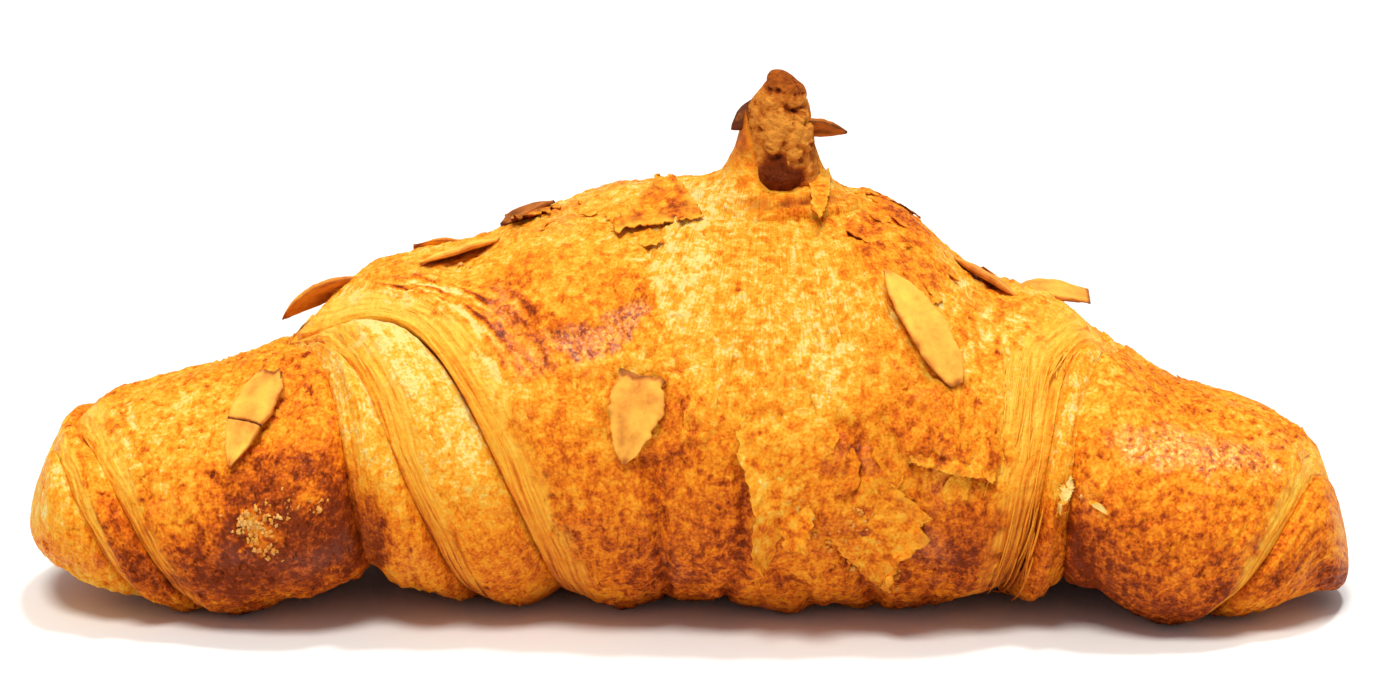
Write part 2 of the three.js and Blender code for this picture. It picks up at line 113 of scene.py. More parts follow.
# Slow lumps: cycles per mm along the roll, cycles round it, phase
LUMP_HEIGHT = 0.18
LUMP_WAVES = ((0.033, 2, 0), (0.021, -3, 1), (0.054, 5, 2))

# Camera of the photograph
PHOTO_SIZE = (1400, 689)
PIXELS_PER_MM = 7.25
CAMERA_ELEVATION = math.radians(15)
CAMERA_DISTANCE = 750.0
CAMERA_TARGET = np.array([1.5, FRAME_SHIFT_Y, 31.8])
SENSOR_WIDTH = 36.0
CAMERA_SIGHT = 20.0


# Form

def curve_through(places, values, at):
    """A cubic through the points: its slope at each is that of the line between its neighbours."""
    places = np.asarray(places, float)
    values = np.asarray(values, float)
    last = len(places) - 1
    index = np.arange(last + 1)
    before = np.maximum(index - 1, 0)
    after = np.minimum(index + 1, last)
    slopes = (values[after] - values[before]) / (places[after] - places[before])
    i = np.clip(np.searchsorted(places, at) - 1, 0, last - 1)
    step = places[i + 1] - places[i]
    t = np.clip((at - places[i]) / step, 0, 1)
    back = 1 - t
    return ((1 + 2 * t) * back ** 2 * values[i] + t * back ** 2 * step * slopes[i]
            + t ** 2 * (3 - 2 * t) * values[i + 1] - t ** 2 * back * step * slopes[i + 1])


def seam_place(seam, angle):
    """A seam's place along the roll, in mm, at angles in degrees: its ring run round and round."""
    angles = np.concatenate([SEAM_ANGLES - 360, SEAM_ANGLES, SEAM_ANGLES + 360])
    values = np.tile(seam["ring"], 3) * HALF_LENGTH
    return curve_through(angles, values, (np.asarray(angle) + 90) % 360 - 90)


def outline_at(column, size, x):
    """One column of the outline, at places x in mm."""
    return curve_through(OUTLINE[:, 0] * HALF_LENGTH, OUTLINE[:, column] * size, x)


def crust_point(x, angle, lift=0.0, dip=0.0):
    """A point of the crust: a squared ellipse about the section's waist, closed at the tips.

    Lift is added to the radius, dip is taken off it, and the base is cut off level.
    """
    turn = np.radians(angle)
    c, s = np.cos(turn), np.sin(turn)
    half = outline_at(DEPTH, HALF_DEPTH, x)
    top = outline_at(TOP, CROWN_HEIGHT, x)
    under = outline_at(UNDERSIDE, CROWN_HEIGHT, x)
    waist = under + WAIST_SHARE * (top - under)
    rise = np.where(s > 0, top - waist, waist - under)
    power = 2 + np.where(s > 0, CROWN_SQUARENESS * s, -BASE_SQUARENESS * s)
    reach = (np.abs(c / half) ** power + np.abs(s / rise) ** power) ** (-1 / power)
    closing = np.clip((np.abs(x) - HALF_LENGTH + TIP_ROUNDING) / TIP_ROUNDING, 0, 1)
    closed = np.sqrt(1 - closing ** 2)
    lumps = sum(LUMP_HEIGHT * np.sin(2 * np.pi * along * x + around * turn + phase)
                for along, around, phase in LUMP_WAVES)
    radius = closed * (np.maximum(reach + lumps - dip, LEAST_RADIUS * reach) + lift)
    y = FRAME_SHIFT_Y - outline_at(FORWARD, HALF_DEPTH, x) - radius * c
    z = np.maximum(waist + radius * s, 0)
    return stacked(x, y, z)


def seam_dip(x, angle):
    """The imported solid's dip beside the seams: a rounded pillow outside, a straight slope inside."""
    dip = np.zeros(np.broadcast(x, angle).shape)
    for seam in SEAMS:
        outside = (x - seam_place(seam, angle)) * seam["outward"]
        near = np.clip(1 - np.abs(outside) / np.where(outside > 0, seam["pillow"], seam["lip"]), 0, 1)
        shape = np.where(outside > 0, 1 - np.sqrt(1 - near ** 2), near)
        dip = np.maximum(dip, seam["depth"] * shape)
    return dip


def solid_point(x, angle, lift=0.0):
    """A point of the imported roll's crust."""
    return crust_point(x, angle, lift, seam_dip(x, angle))


# Noise and photograph places

def stacked(*parts):
    """Values side by side in a last axis, after they are spread to one shape."""
    return np.stack(np.broadcast_arrays(*parts), axis=-1)


def unit(v):
    """Vectors of length 1."""
    return v / np.linalg.norm(v, axis=-1, keepdims=True)


def headings(count):
    """Directions round a ring, in radians."""
    return np.linspace(0, 2 * np.pi, count, endpoint=False)


SLOPE_SEED = 7
SLOPES = unit(np.random.default_rng(SLOPE_SEED).normal(size=(256, 3)))
HASH_STEPS = np.array([73856093, 19349663, 83492791])
HASH_SEED_STEP = 1013904223
HASH_MIX = 1274126177
NOISE_HEIGHT = 1.6


def noise(p, size, seed=0):
    """Smooth noise in about -1..1 with features of the given size in mm.

    Each corner of a cubic lattice has a hashed slope; the eight slopes round a point are blended.
    """
    q = np.asarray(p, float) / size
    cell = np.floor(q).astype(np.int64)
    part = q - cell
    fade = part ** 3 * (part * (part * 6 - 15) + 10)
    total = np.zeros(q.shape[:-1])
    for corner in np.ndindex(2, 2, 2):
        mixed = ((cell + corner) * HASH_STEPS).sum(-1) + seed * HASH_SEED_STEP
        mixed = (mixed ^ (mixed >> 13)) * HASH_MIX
        slope = SLOPES[(mixed ^ (mixed >> 16)) & (len(SLOPES) - 1)]
        weight = np.where(corner, fade, 1 - fade).prod(-1)
        total += weight * ((part - corner) * slope).sum(-1)
    return total * NOISE_HEIGHT


def cloud(p, size, octaves, seed=0):
    """Noise of halving sizes and halving heights, added up."""
    return sum(noise(p, size / 2 ** k, seed + k) / 2 ** k for k in range(octaves))


def drawn_cloud(across, run, size, octaves, seed, level=0.0):
    """A cloud drawn out along a run: its sizes across and along the run are in mm."""
    return cloud(stacked(across / size[0], run / size[1], level), 1.0, octaves, seed)


def smooth(low, high, value):
    """0 below low, 1 above high, and an even rise between."""
    t = np.clip((value - low) / (high - low), 0, 1)
    return t * t * (3 - 2 * t)


def between(value, rise, fall):
    """1 between a rise and a fall, each given by where it starts and ends, and 0 outside them."""
    return smooth(*rise, value) * smooth(*fall, value)


def photo_place(p):
    """Where points in mm appear in the photograph, in pixels."""
    c, s = math.cos(CAMERA_ELEVATION), math.sin(CAMERA_ELEVATION)
    q = p - CAMERA_TARGET
    deep = q[..., 1] * c - q[..., 2] * s + CAMERA_DISTANCE
    zoom = PIXELS_PER_MM * CAMERA_DISTANCE / deep
    across = PHOTO_SIZE[0] / 2 + zoom * q[..., 0]
    down = PHOTO_SIZE[1] / 2 - zoom * (q[..., 1] * s + q[..., 2] * c)
    return np.stack([across, down], axis=-1)


def flat_cross(a, b):
    """Area that two directions in the photograph span."""
    return a[..., 0] * b[..., 1] - a[..., 1] * b[..., 0]


# Search for the crust under a place, in mm and degrees: trial moves, farthest moves and limits
SEARCH_STEPS = 14
FIRST_ANGLE = 30.0
TRIAL_X, TRIAL_ANGLE = 0.1, 0.5
FARTHEST_X, FARTHEST_ANGLE = 6.0, 12.0
SEEN_X = 0.99 * HALF_LENGTH
SEEN_ANGLES = (-70.0, 104.0)
LEAST_AREA = 0.02


def crust_under(place):
    """The place along the roll and the angle round it of the crust under photograph places.

    Newton's steps: both unknowns move until the crust's point appears at the wanted place.
    """
    x = (place[..., 0] - PHOTO_SIZE[0] / 2) / PIXELS_PER_MM + CAMERA_TARGET[0]
    angle = np.full_like(x, FIRST_ANGLE)
    for _ in range(SEARCH_STEPS):
        here = photo_place(carrier_point(x, angle))
        by_x = photo_place(carrier_point(x + TRIAL_X, angle)) - here
        by_angle = photo_place(carrier_point(x, angle + TRIAL_ANGLE)) - here
        miss = place - here
        area = flat_cross(by_x, by_angle)
        area = np.where(np.abs(area) < LEAST_AREA, -LEAST_AREA, area)
        step_x = TRIAL_X * flat_cross(miss, by_angle) / area
        step_angle = TRIAL_ANGLE * flat_cross(by_x, miss) / area
        x = np.clip(x + np.clip(step_x, -FARTHEST_X, FARTHEST_X), -SEEN_X, SEEN_X)
        angle = np.clip(angle + np.clip(step_angle, -FARTHEST_ANGLE, FARTHEST_ANGLE), *SEEN_ANGLES)
    return x, angle


def line_distance(place, line):
    """Distance in pixels from photograph places to a broken line."""
    nearest = np.full(place.shape[:-1], np.inf)
    for start, end in zip(line[:-1], line[1:]):
        side = end - start
        offset = place - start
        share = np.clip((offset @ side) / (side @ side), 0, 1)
        nearest = np.minimum(nearest, np.linalg.norm(offset - share[..., None] * side, axis=-1))
    return nearest


def outline_distance(place, outline):
    """Distance in pixels from photograph places to a closed outline, less than 0 inside it."""
    closed = np.concatenate([outline, outline[:1]])
    inside = np.zeros(place.shape[:-1], bool)
    for start, end in zip(closed[:-1], closed[1:]):
        spans = (start[1] > place[..., 1]) != (end[1] > place[..., 1])
        rise = end[1] - start[1] if end[1] != start[1] else 1e-9
        crossing = (end[0] - start[0]) * (place[..., 1] - start[1]) / rise
        inside ^= spans & (place[..., 0] - start[0] < crossing)
    nearest = line_distance(place, closed)
    return np.where(inside, -nearest, nearest)


def near_line(place, line, margin):
    """Which photograph places lie within a margin of a line's bounding box."""
    return np.all((place > line.min(axis=0) - margin) & (place < line.max(axis=0) + margin), axis=-1)


# Meshes

def add_object(name, data):
    """An object of the scene that holds a mesh, a lamp or a camera."""
    made = bpy.data.objects.new(name, data)
    bpy.context.scene.collection.objects.link(made)
    return made


def ring_faces(rings, around):
    """Quads between rings of equally many points, each ring closed on itself."""
    row = np.arange(rings - 1)[:, None] * around
    i = np.arange(around)
    j = (i + 1) % around
    return stacked(row + i, row + around + i, row + around + j, row + j).reshape(-1, 4)


def facing_out(points, *faces):
    """A closed surface's points and faces, turned over if the faces look inwards."""
    fans = [f[:, [0, k, k + 1]] for f in faces for k in range(1, f.shape[1] - 1)]
    a, b, c = np.moveaxis(points[np.concatenate(fans)], 1, 0)
    volume = np.einsum("ij,ij->i", a, np.cross(b, c)).sum()
    return points, *(f[:, ::-1] if volume < 0 else f for f in faces)


def add_piece(name, surface, material, attributes, replaces=()):
    """A mesh piece that rides on the part, from a surface's points in mm and its faces.

    An attribute is one value for the whole piece, or a value for each point.
    """
    points, *faces = surface
    mesh = bpy.data.meshes.new(name)
    mesh.vertices.add(len(points))
    mesh.vertices.foreach_set("co", (points * MM).astype(np.float32).ravel())
    corners = np.concatenate([f.ravel() for f in faces])
    sizes = np.concatenate([np.full(len(f), f.shape[1]) for f in faces])
    mesh.loops.add(len(corners))
    mesh.loops.foreach_set("vertex_index", corners.astype(np.int32))
    mesh.polygons.add(len(sizes))
    mesh.polygons.foreach_set("loop_start", (np.cumsum(sizes) - sizes).astype(np.int32))
    mesh.polygons.foreach_set("use_smooth", np.ones(len(sizes), bool))
    for key, values in attributes.items():
        layer = mesh.attributes.new(key, "FLOAT", "POINT")
        each = np.broadcast_to(np.ravel(values), len(points))
        layer.data.foreach_set("value", np.ascontiguousarray(each, np.float32))
    mesh.update(calc_edges=True)
    mesh.validate()
    mesh.materials.append(material)
    piece = add_object(name, mesh)
    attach(piece, "root")
    if replaces:
        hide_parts(*replaces)


def closed_tube(rings, first=None, last=None):
    """A tube of rings closed at two end points, or else at the middles of its end rings."""
    count, around = rings.shape[:2]
    first = rings[0].mean(axis=0) if first is None else first
    last = rings[-1].mean(axis=0) if last is None else last
    points = np.concatenate([rings.reshape(-1, 3), [first, last]])
    i = np.arange(around)
    j = (i + 1) % around
    end = (count - 1) * around
    fans = np.concatenate([stacked(count * around, i, j), stacked(count * around + 1, end + j, end + i)])
    return facing_out(points, ring_faces(count, around), fans)


def tube_values(values, lead=0, tail=0):
    """A value for each point of a closed tube: those of its end rings go on over further rings and ends."""
    padded = np.pad(values, ((lead, tail), (0, 0)), mode="edge")
    return np.concatenate([padded.ravel(), [padded[0].mean(), padded[-1].mean()]])


def joined(tubes):
    """Many tubes of equal size as one surface, and how many points each has."""
    parts = [closed_tube(rings) for rings in tubes]
    each = len(parts[0][0])
    points = np.concatenate([part[0] for part in parts])
    quads, triangles = (np.concatenate([part[k] + each * order for order, part in enumerate(parts)])
                        for k in (1, 2))
    return (points, quads, triangles), each


def shell(top, bottom):
    """Two grids of points joined round their edge."""
    rows, columns = top.shape[:2]
    under = rows * columns
    index = np.arange(under).reshape(rows, columns)
    grid = stacked(index[:-1, :-1], index[:-1, 1:], index[1:, 1:], index[1:, :-1]).reshape(-1, 4)
    loop = np.concatenate([index[0, :-1], index[:-1, -1], index[-1, :0:-1], index[:0:-1, 0]])
    after = np.roll(loop, -1)
    rim = stacked(loop, loop + under, after + under, after)
    points = np.concatenate([top.reshape(-1, 3), bottom.reshape(-1, 3)])
    return facing_out(points, np.concatenate([grid, grid[:, ::-1] + under, rim]))


# Materials

def plug(tree, made, inputs):
    """Set a node's inputs to values or to other nodes' outputs."""
    for key, value in inputs.items():
        if isinstance(value, bpy.types.NodeSocket):
            tree.links.new(value, made.inputs[key])
        else:
            made.inputs[key].default_value = value


def node(tree, kind, inputs=(), **settings):
    """A shader node with its settings and inputs."""
    made = tree.nodes.new(kind)
    for key, value in settings.items():
        setattr(made, key, value)
    plug(tree, made, dict(inputs))
    return made


def attribute(tree, name):
    """The value of a piece's own attribute."""
    return node(tree, "ShaderNodeAttribute", attribute_name=name).outputs["Fac"]


def maths(tree, operation, *values):
    """Values or sockets put together by one operation, from the first to the last."""
    total = values[0]
    for value in values[1:]:
        total = node(tree, "ShaderNodeMath", {0: total, 1: value}, operation=operation).outputs[0]
    return total


def ranged(tree, value, low, high, to_low=0.0, to_high=1.0, **settings):
    """A value whose range from low to high is spread over another range."""
    ends = {"Value": value, "From Min": low, "From Max": high, "To Min": to_low, "To Max": to_high}
    return node(tree, "ShaderNodeMapRange", ends, **settings).outputs["Result"]


def bump(tree, height, strength, distance):
    """A normal tilted by a height."""
    inputs = {"Height": height, "Strength": strength, "Distance": distance}
    return node(tree, "ShaderNodeBump", inputs).outputs["Normal"]


def object_noise(tree, per_metre, detail):
    """Object-space noise in 0..1, by cycles per metre."""
    place = node(tree, "ShaderNodeTexCoord").outputs["Object"]
    inputs = {"Vector": place, "Scale": per_metre, "Detail": detail}
    return node(tree, "ShaderNodeTexNoise", inputs).outputs["Fac"]


def spread_noise(tree, per_metre, detail, amount=1.0):
    """Object-space noise about 0, by cycles per metre."""
    even = maths(tree, "SUBTRACT", object_noise(tree, per_metre, detail), 0.5)
    return maths(tree, "MULTIPLY", even, 2 * amount)


def flecks(tree, per_metre, detail, soft, amount):
    """Noise pressed towards two tones: light and dark flecks whose edges are fairly crisp."""
    return ranged(tree, object_noise(tree, per_metre, detail), 0.5 - soft, 0.5 + soft, -amount, amount,
                  interpolation_type="SMOOTHSTEP")


def drawn_fibres(tree):
    """Fine fibres, about 0: noise that is long along a piece's own grain and short across it."""
    across = maths(tree, "MULTIPLY", attribute(tree, "grain_across"), FIBRES_PER_MM)
    along = maths(tree, "MULTIPLY", attribute(tree, "grain_along"), FIBRES_PER_MM / FIBRE_STRETCH)
    place = node(tree, "ShaderNodeCombineXYZ", {"X": across, "Y": along}).outputs[0]
    made = node(tree, "ShaderNodeTexNoise", {"Vector": place, "Scale": 1.0, "Detail": 3})
    even = maths(tree, "SUBTRACT", made.outputs["Fac"], 0.5)
    return maths(tree, "MULTIPLY", even, attribute(tree, "grain"))


def specks(tree, per_metre, size, amount):
    """Scattered round dark specks: an amount in the middle of some cells, 0 between them."""
    place = node(tree, "ShaderNodeTexCoord").outputs["Object"]
    cells = node(tree, "ShaderNodeTexVoronoi", {"Vector": place, "Scale": per_metre})
    near = ranged(tree, cells.outputs["Distance"], size, 0.3 * size, 0.0, amount)
    some = maths(tree, "GREATER_THAN", object_noise(tree, SPECK_FIELDS_PER_METRE, 2), SPECK_FIELD_FROM)
    return maths(tree, "MULTIPLY", near, some)


def colour_ramp(tree, value, stops):
    """A colour for a value, through stops of (value, linear red, green, blue)."""
    made = node(tree, "ShaderNodeValToRGB", {"Fac": value})
    ramp = made.color_ramp
    while len(ramp.elements) < len(stops):
        ramp.elements.new(0.5)
    for element, (place, *colour) in zip(ramp.elements, stops):
        element.position = place
        element.color = (*colour, 1)
    return made.outputs["Color"]


def new_material(name):
    """An empty node material with its shader, and the node tree."""
    material = bpy.data.materials.new(name)
    material.use_nodes = True
    tree = material.node_tree
    return material, tree, tree.nodes["Principled BSDF"]


FIBRES_PER_MM = 2.6
FIBRE_STRETCH = 11.0
SPECK_FIELDS_PER_METRE = 90
SPECK_FIELD_FROM = 0.52

# Places of the factor, the two colours and the result among a colour mix's sockets
MIX_FACTOR, MIX_FIRST, MIX_SECOND, MIX_RESULT = 0, 6, 7, 2

# Linear albedo from unbaked or pale to burnt: crust, layers of a lip, almond and paste
BAKE_STOPS = (
    (0.0, 0.86, 0.66, 0.24),
    (0.12, 0.87, 0.50, 0.065),
    (0.26, 0.88, 0.39, 0.028),
    (0.42, 0.86, 0.285, 0.012),
    (0.6, 0.72, 0.165, 0.007),
    (0.8, 0.43, 0.072, 0.005),
    (1.0, 0.19, 0.026, 0.003),
)
LAYER_STOPS = (
    (0.0, 0.92, 0.58, 0.085),
    (0.3, 0.90, 0.42, 0.035),
    (0.6, 0.78, 0.23, 0.015),
    (0.8, 0.50, 0.11, 0.009),
    (1.0, 0.24, 0.045, 0.006),
)
ALMOND_STOPS = (
    (0.0, 0.96, 0.60, 0.09),
    (0.3, 0.92, 0.42, 0.06),
    (0.6, 0.58, 0.18, 0.026),
    (1.0, 0.11, 0.025, 0.007),
)
PASTE_STOPS = (
    (0.0, 0.76, 0.29, 0.04),
    (0.35, 0.50, 0.13, 0.014),
    (0.65, 0.22, 0.036, 0.005),
    (1.0, 0.05, 0.008, 0.003),
)


def crust_material(name, depth_of_light):
    """Baked crust: colour by how baked it is, mottled, with painted sparkle flecks where glossy; layered
    lips are yellow; fine wrinkled bump.

    Light spreads inside the thick roll, and not in torn sheets, which are thinner than its reach.
    """
    material, tree, shader = new_material(name)
    fibres = drawn_fibres(tree)
    gloss = attribute(tree, "gloss")
    mottle = maths(tree, "ADD", flecks(tree, 760, 5, soft=0.08, amount=0.085),
                   spread_noise(tree, 2300, 4, amount=0.42))
    # Painted highlights: light and dark sparkle flecks in the colour where the crust is glossy
    sparkle = maths(tree, "MULTIPLY", ranged(tree, gloss, 0.6, 1.0),
                    flecks(tree, 1500, 2, soft=0.08, amount=0.16))
    baked = maths(tree, "ADD", attribute(tree, "bake"), mottle, sparkle,
                  specks(tree, 260, size=0.16, amount=0.3), maths(tree, "MULTIPLY", fibres, 0.55))
    layered = maths(tree, "ADD", attribute(tree, "groove"), spread_noise(tree, 900, 3, amount=0.16),
                    maths(tree, "MULTIPLY", fibres, 0.7))
    colours = {MIX_FACTOR: attribute(tree, "layer"),
               MIX_FIRST: colour_ramp(tree, baked, BAKE_STOPS),
               MIX_SECOND: colour_ramp(tree, layered, LAYER_STOPS)}
    dull = maths(tree, "SUBTRACT", 0.6, maths(tree, "MULTIPLY", gloss, 0.4))
    wrinkles = maths(tree, "ADD", spread_noise(tree, 1300, 5, amount=0.5),
                     spread_noise(tree, 520, 4, amount=0.5))
    plug(tree, shader, {
        "Base Color": node(tree, "ShaderNodeMix", colours, data_type="RGBA").outputs[MIX_RESULT],
        "Roughness": maths(tree, "ADD", dull, spread_noise(tree, 800, 2, amount=0.1)),
        "Specular IOR Level": 0.08,
        "Normal": bump(tree, maths(tree, "SUBTRACT", wrinkles, fibres), 0.75, 0.7 * MM),
        "Coat Weight": ranged(tree, gloss, 0.4, 1.0),
        "Coat Roughness": 0.22,
        "Coat Normal": bump(tree, spread_noise(tree, 1300, 4), 0.6, 0.4 * MM),
        "Subsurface Weight": depth_of_light,
        "Subsurface Radius": (1.0, 0.42, 0.12),
        "Subsurface Scale": 1.6 * MM,
    })
    return material


def almond_material():
    """Sliced almond: pale tan with a darker toasted edge, painted shade on its underside and fine grain
    along the slice.
    """
    material, tree, shader = new_material("sliced_almond")
    toast = maths(tree, "ADD", attribute(tree, "toast"), spread_noise(tree, 600, 4, amount=0.16),
                  spread_noise(tree, 2200, 3, amount=0.1))
    plug(tree, shader, {
        "Base Color": colour_ramp(tree, toast, ALMOND_STOPS),
        "Roughness": maths(tree, "ADD", 0.6, spread_noise(tree, 900, 2, amount=0.12)),
        "Specular IOR Level": 0.12,
        "Normal": bump(tree, spread_noise(tree, 1100, 4), 0.5, 0.2 * MM),
    })
    return material


def paste_material():
    """Baked almond paste: tan lumps to near-black crevices, rough, with a dark sticky hollow; the darkness
    of crevices and hollow is partly painted shade.
    """
    material, tree, shader = new_material("almond_paste")
    char_and_shade = maths(tree, "ADD", attribute(tree, "char_and_shade"), spread_noise(tree, 700, 4, amount=0.2),
                 spread_noise(tree, 2400, 3, amount=0.12))
    plug(tree, shader, {
        "Base Color": colour_ramp(tree, char_and_shade, PASTE_STOPS),
        "Roughness": maths(tree, "SUBTRACT", 0.75, maths(tree, "MULTIPLY", attribute(tree, "gloss"), 0.5)),
        "Specular IOR Level": 0.07,
        "Normal": bump(tree, spread_noise(tree, 1500, 5), 0.9, 0.6 * MM),
    })
    return material


CRUST = crust_material("baked_crust", 0.35)
TORN_DOUGH = crust_material("torn_dough", 0.0)
ALMOND = almond_material()
PASTE = paste_material()


# Browning, torn skin and painted shade, by outlines in the photograph

# Name: outline, change of bake, step of the skin in mm, change of gloss, soft edge and raggedness in px
PATCHES = {
    "pale_tongue": (
        [(648, 237), (702, 214), (747, 205), (817, 228), (859, 265), (875, 303), (855, 364), (827, 402),
         (795, 428), (737, 421), (715, 390), (683, 364), (658, 319), (645, 294)],
        -0.06, -0.35, -0.2, 7, 9),
    "tongue_glow": (
        [(652, 240), (700, 222), (716, 262), (700, 330), (672, 336), (654, 300)],
        -0.10, 0.0, 0.0, 14, 8),
    "peak_foot": (
        [(650, 190), (702, 184), (738, 176), (752, 206), (700, 226), (648, 230)],
        -0.26, 0.0, 0.0, 10, 8),
    "crown_gold": (
        [(540, 196), (620, 182), (656, 186), (612, 236), (560, 246), (500, 256)],
        -0.08, 0.0, 0.1, 10, 10),
    "lip_gold": (
        [(318, 312), (352, 290), (412, 292), (470, 322), (520, 400), (500, 402), (440, 340), (372, 326)],
        -0.09, 0.0, 0.0, 8, 6),
    "lip_top": (
        [(318, 312), (352, 290), (412, 292), (430, 316), (372, 324)],
        -0.20, 0.0, 0.0, 8, 6),
    "orange_skin": (
        [(500, 262), (560, 246), (610, 258), (648, 292), (625, 322), (548, 334), (518, 304)],
        0.11, 0.3, -0.2, 5, 9),
    "red_patch": (
        [(546, 333), (594, 319), (645, 300), (649, 315), (632, 340), (613, 359), (572, 362)],
        0.20, -0.35, 0.75, 3, 8),
    "streaked_side": (
        [(462, 290), (512, 268), (548, 330), (560, 372), (520, 384), (490, 340)],
        0.22, 0.0, 0.3, 9, 10),
    "smooth_flap": (
        [(718, 383), (716, 425), (705, 441), (683, 438), (686, 412), (700, 385)],
        -0.06, 0.4, 0.1, 3, 4),
    "right_skin": (
        [(880, 400), (960, 380), (1004, 420), (996, 481), (953, 467), (938, 457), (910, 463), (892, 440)],
        0.16, 0.8, 0.1, 3, 5),
    "brown_horn": (
        [(211, 475), (243, 454), (313, 445), (351, 457), (366, 504), (387, 557), (357, 577), (302, 592),
         (231, 609), (184, 592), (178, 548), (225, 521)],
        0.40, 0.2, 0.1, 22, 16),
    "pale_crumb": (
        [(240, 512), (262, 506), (274, 522), (268, 548), (246, 546)],
        -0.46, 0.1, -0.5, 8, 18),
    "pale_crumb_small": (
        [(284, 489), (310, 486), (318, 505), (296, 515)],
        -0.34, 0.1, -0.3, 8, 14),
    "horn_gold": (
        [(95, 410), (190, 392), (235, 420), (212, 468), (196, 510), (150, 500), (105, 450)],
        -0.13, 0.0, 0.0, 22, 14),
    "right_pale": (
        [(1066, 372), (1100, 355), (1120, 372), (1108, 410), (1084, 440), (1062, 440)],
        -0.20, 0.0, -0.1, 14, 12),
    "right_gloss": (
        [(1112, 430), (1180, 432), (1262, 452), (1285, 476), (1215, 478), (1130, 462)],
        -0.04, 0.1, 0.9, 16, 12),
    "right_strip": (
        [(1282, 482), (1312, 462), (1328, 470), (1300, 520), (1268, 552), (1240, 562)],
        0.0, 0.0, 0.1, 9, 8),
    "peak_shade": (
        [(744, 202), (770, 206), (800, 208), (836, 216), (852, 236), (800, 238), (764, 226), (740, 214)],
        0.10, -0.2, -0.2, 9, 6),
    "crown_flake_bed": (
        [(612, 226), (640, 206), (690, 190), (694, 206), (660, 232), (620, 238)],
        0.0, -0.9, 0.0, 5, 6),
    # Painted shade in the hollow under the hooded flap's edge
    "shaded_recess": (
        [(846, 222), (868, 220), (884, 234), (866, 243), (850, 236)],
        0.45, -0.7, 0.0, 4, 4),
    "left_crown_brown": (
        [(505, 215), (560, 196), (600, 200), (560, 230), (500, 250)],
        0.14, 0.15, 0.2, 9, 9),
    "right_crown_brown": (
        [(880, 190), (910, 204), (935, 240), (915, 246), (880, 215)],
        0.32, 0.2, 0.0, 8, 8),
    "low_middle": (
        [(600, 470), (680, 440), (740, 450), (760, 560), (700, 600), (620, 600)],
        0.10, 0.15, 0.0, 20, 16),
    "low_right": (
        [(905, 480), (985, 490), (985, 560), (930, 596), (880, 590), (890, 560), (935, 520)],
        0.12, -0.1, 0.2, 10, 10),
    "flap_bed": (
        [(828, 424), (868, 426), (880, 470), (838, 492), (822, 470)],
        0.18, -0.3, 0.3, 6, 8),
    "band_foot": (
        [(960, 500), (1050, 496), (1040, 590), (950, 596)],
        0.18, 0.0, -0.1, 12, 10),
    "tongue_foot": (
        [(634, 398), (676, 378), (702, 402), (700, 470), (646, 476)],
        0.22, 0.0, 0.0, 12, 12),
    "crown_orange": (
        [(842, 244), (884, 236), (936, 250), (950, 290), (900, 292), (862, 276)],
        0.19, 0.1, -0.2, 9, 10),
    "right_notch": (
        [(1040, 520), (1088, 500), (1110, 596), (1030, 604)],
        0.08, 0.0, 0.0, 12, 10),
    "nub_end": (
        [(1322, 570), (1352, 552), (1354, 596), (1312, 598)],
        0.26, 0.0, 0.0, 9, 8),
    "ring_shade": (
        [(96, 480), (120, 500), (176, 556), (190, 600), (130, 590), (92, 530)],
        0.16, 0.0, 0.0, 12, 10),
}

# Creases and ridges: line in the photograph, depth in mm (less than 0 for a ridge), half width in px,
# and change of bake: painted shade in a crease, painted light on a ridge
CREASES = {
    "left_fold": ([(648, 462), (662, 520), (660, 560), (668, 602)], 1.3, 8, 0.12),
    "middle_fold": ([(742, 470), (744, 530), (738, 572), (722, 604)], 1.0, 8, 0.16),
    "low_right_fold": ([(846, 560), (868, 590), (880, 612)], 1.0, 9, 0.14),
    "foot_fold": ([(770, 575), (800, 590), (815, 612)], 0.8, 8, 0.10),
    "tongue_ridge": ([(742, 292), (724, 350), (714, 404)], -0.5, 5, -0.05),
    "tongue_crack": ([(698, 292), (712, 268), (736, 250)], 0.4, 3, 0.14),
    "tongue_hem": ([(648, 236), (645, 294), (662, 330), (684, 366)], 0.5, 5, 0.16),
    "skin_tear": ([(911, 463), (938, 457), (954, 467), (994, 482)], 1.1, 4, 0.24),
    "chip_gap": ([(838, 420), (856, 436), (858, 474), (846, 500)], 0.7, 6, 0.16),
    "right_crease": ([(1060, 520), (1080, 548), (1100, 596)], 0.9, 9, 0.10),
    "horn_dent": ([(214, 482), (236, 508), (240, 540)], 0.6, 7, 0.14),
    "horn_foot": ([(372, 500), (384, 548), (372, 588)], 0.6, 9, 0.18),
}
CREASE_RAGGED = 5.0
FAN_MIDDLE = np.array([770.0, 60.0])
FAN_REACH = 46.0
SHAKE_SIZE = 2.6
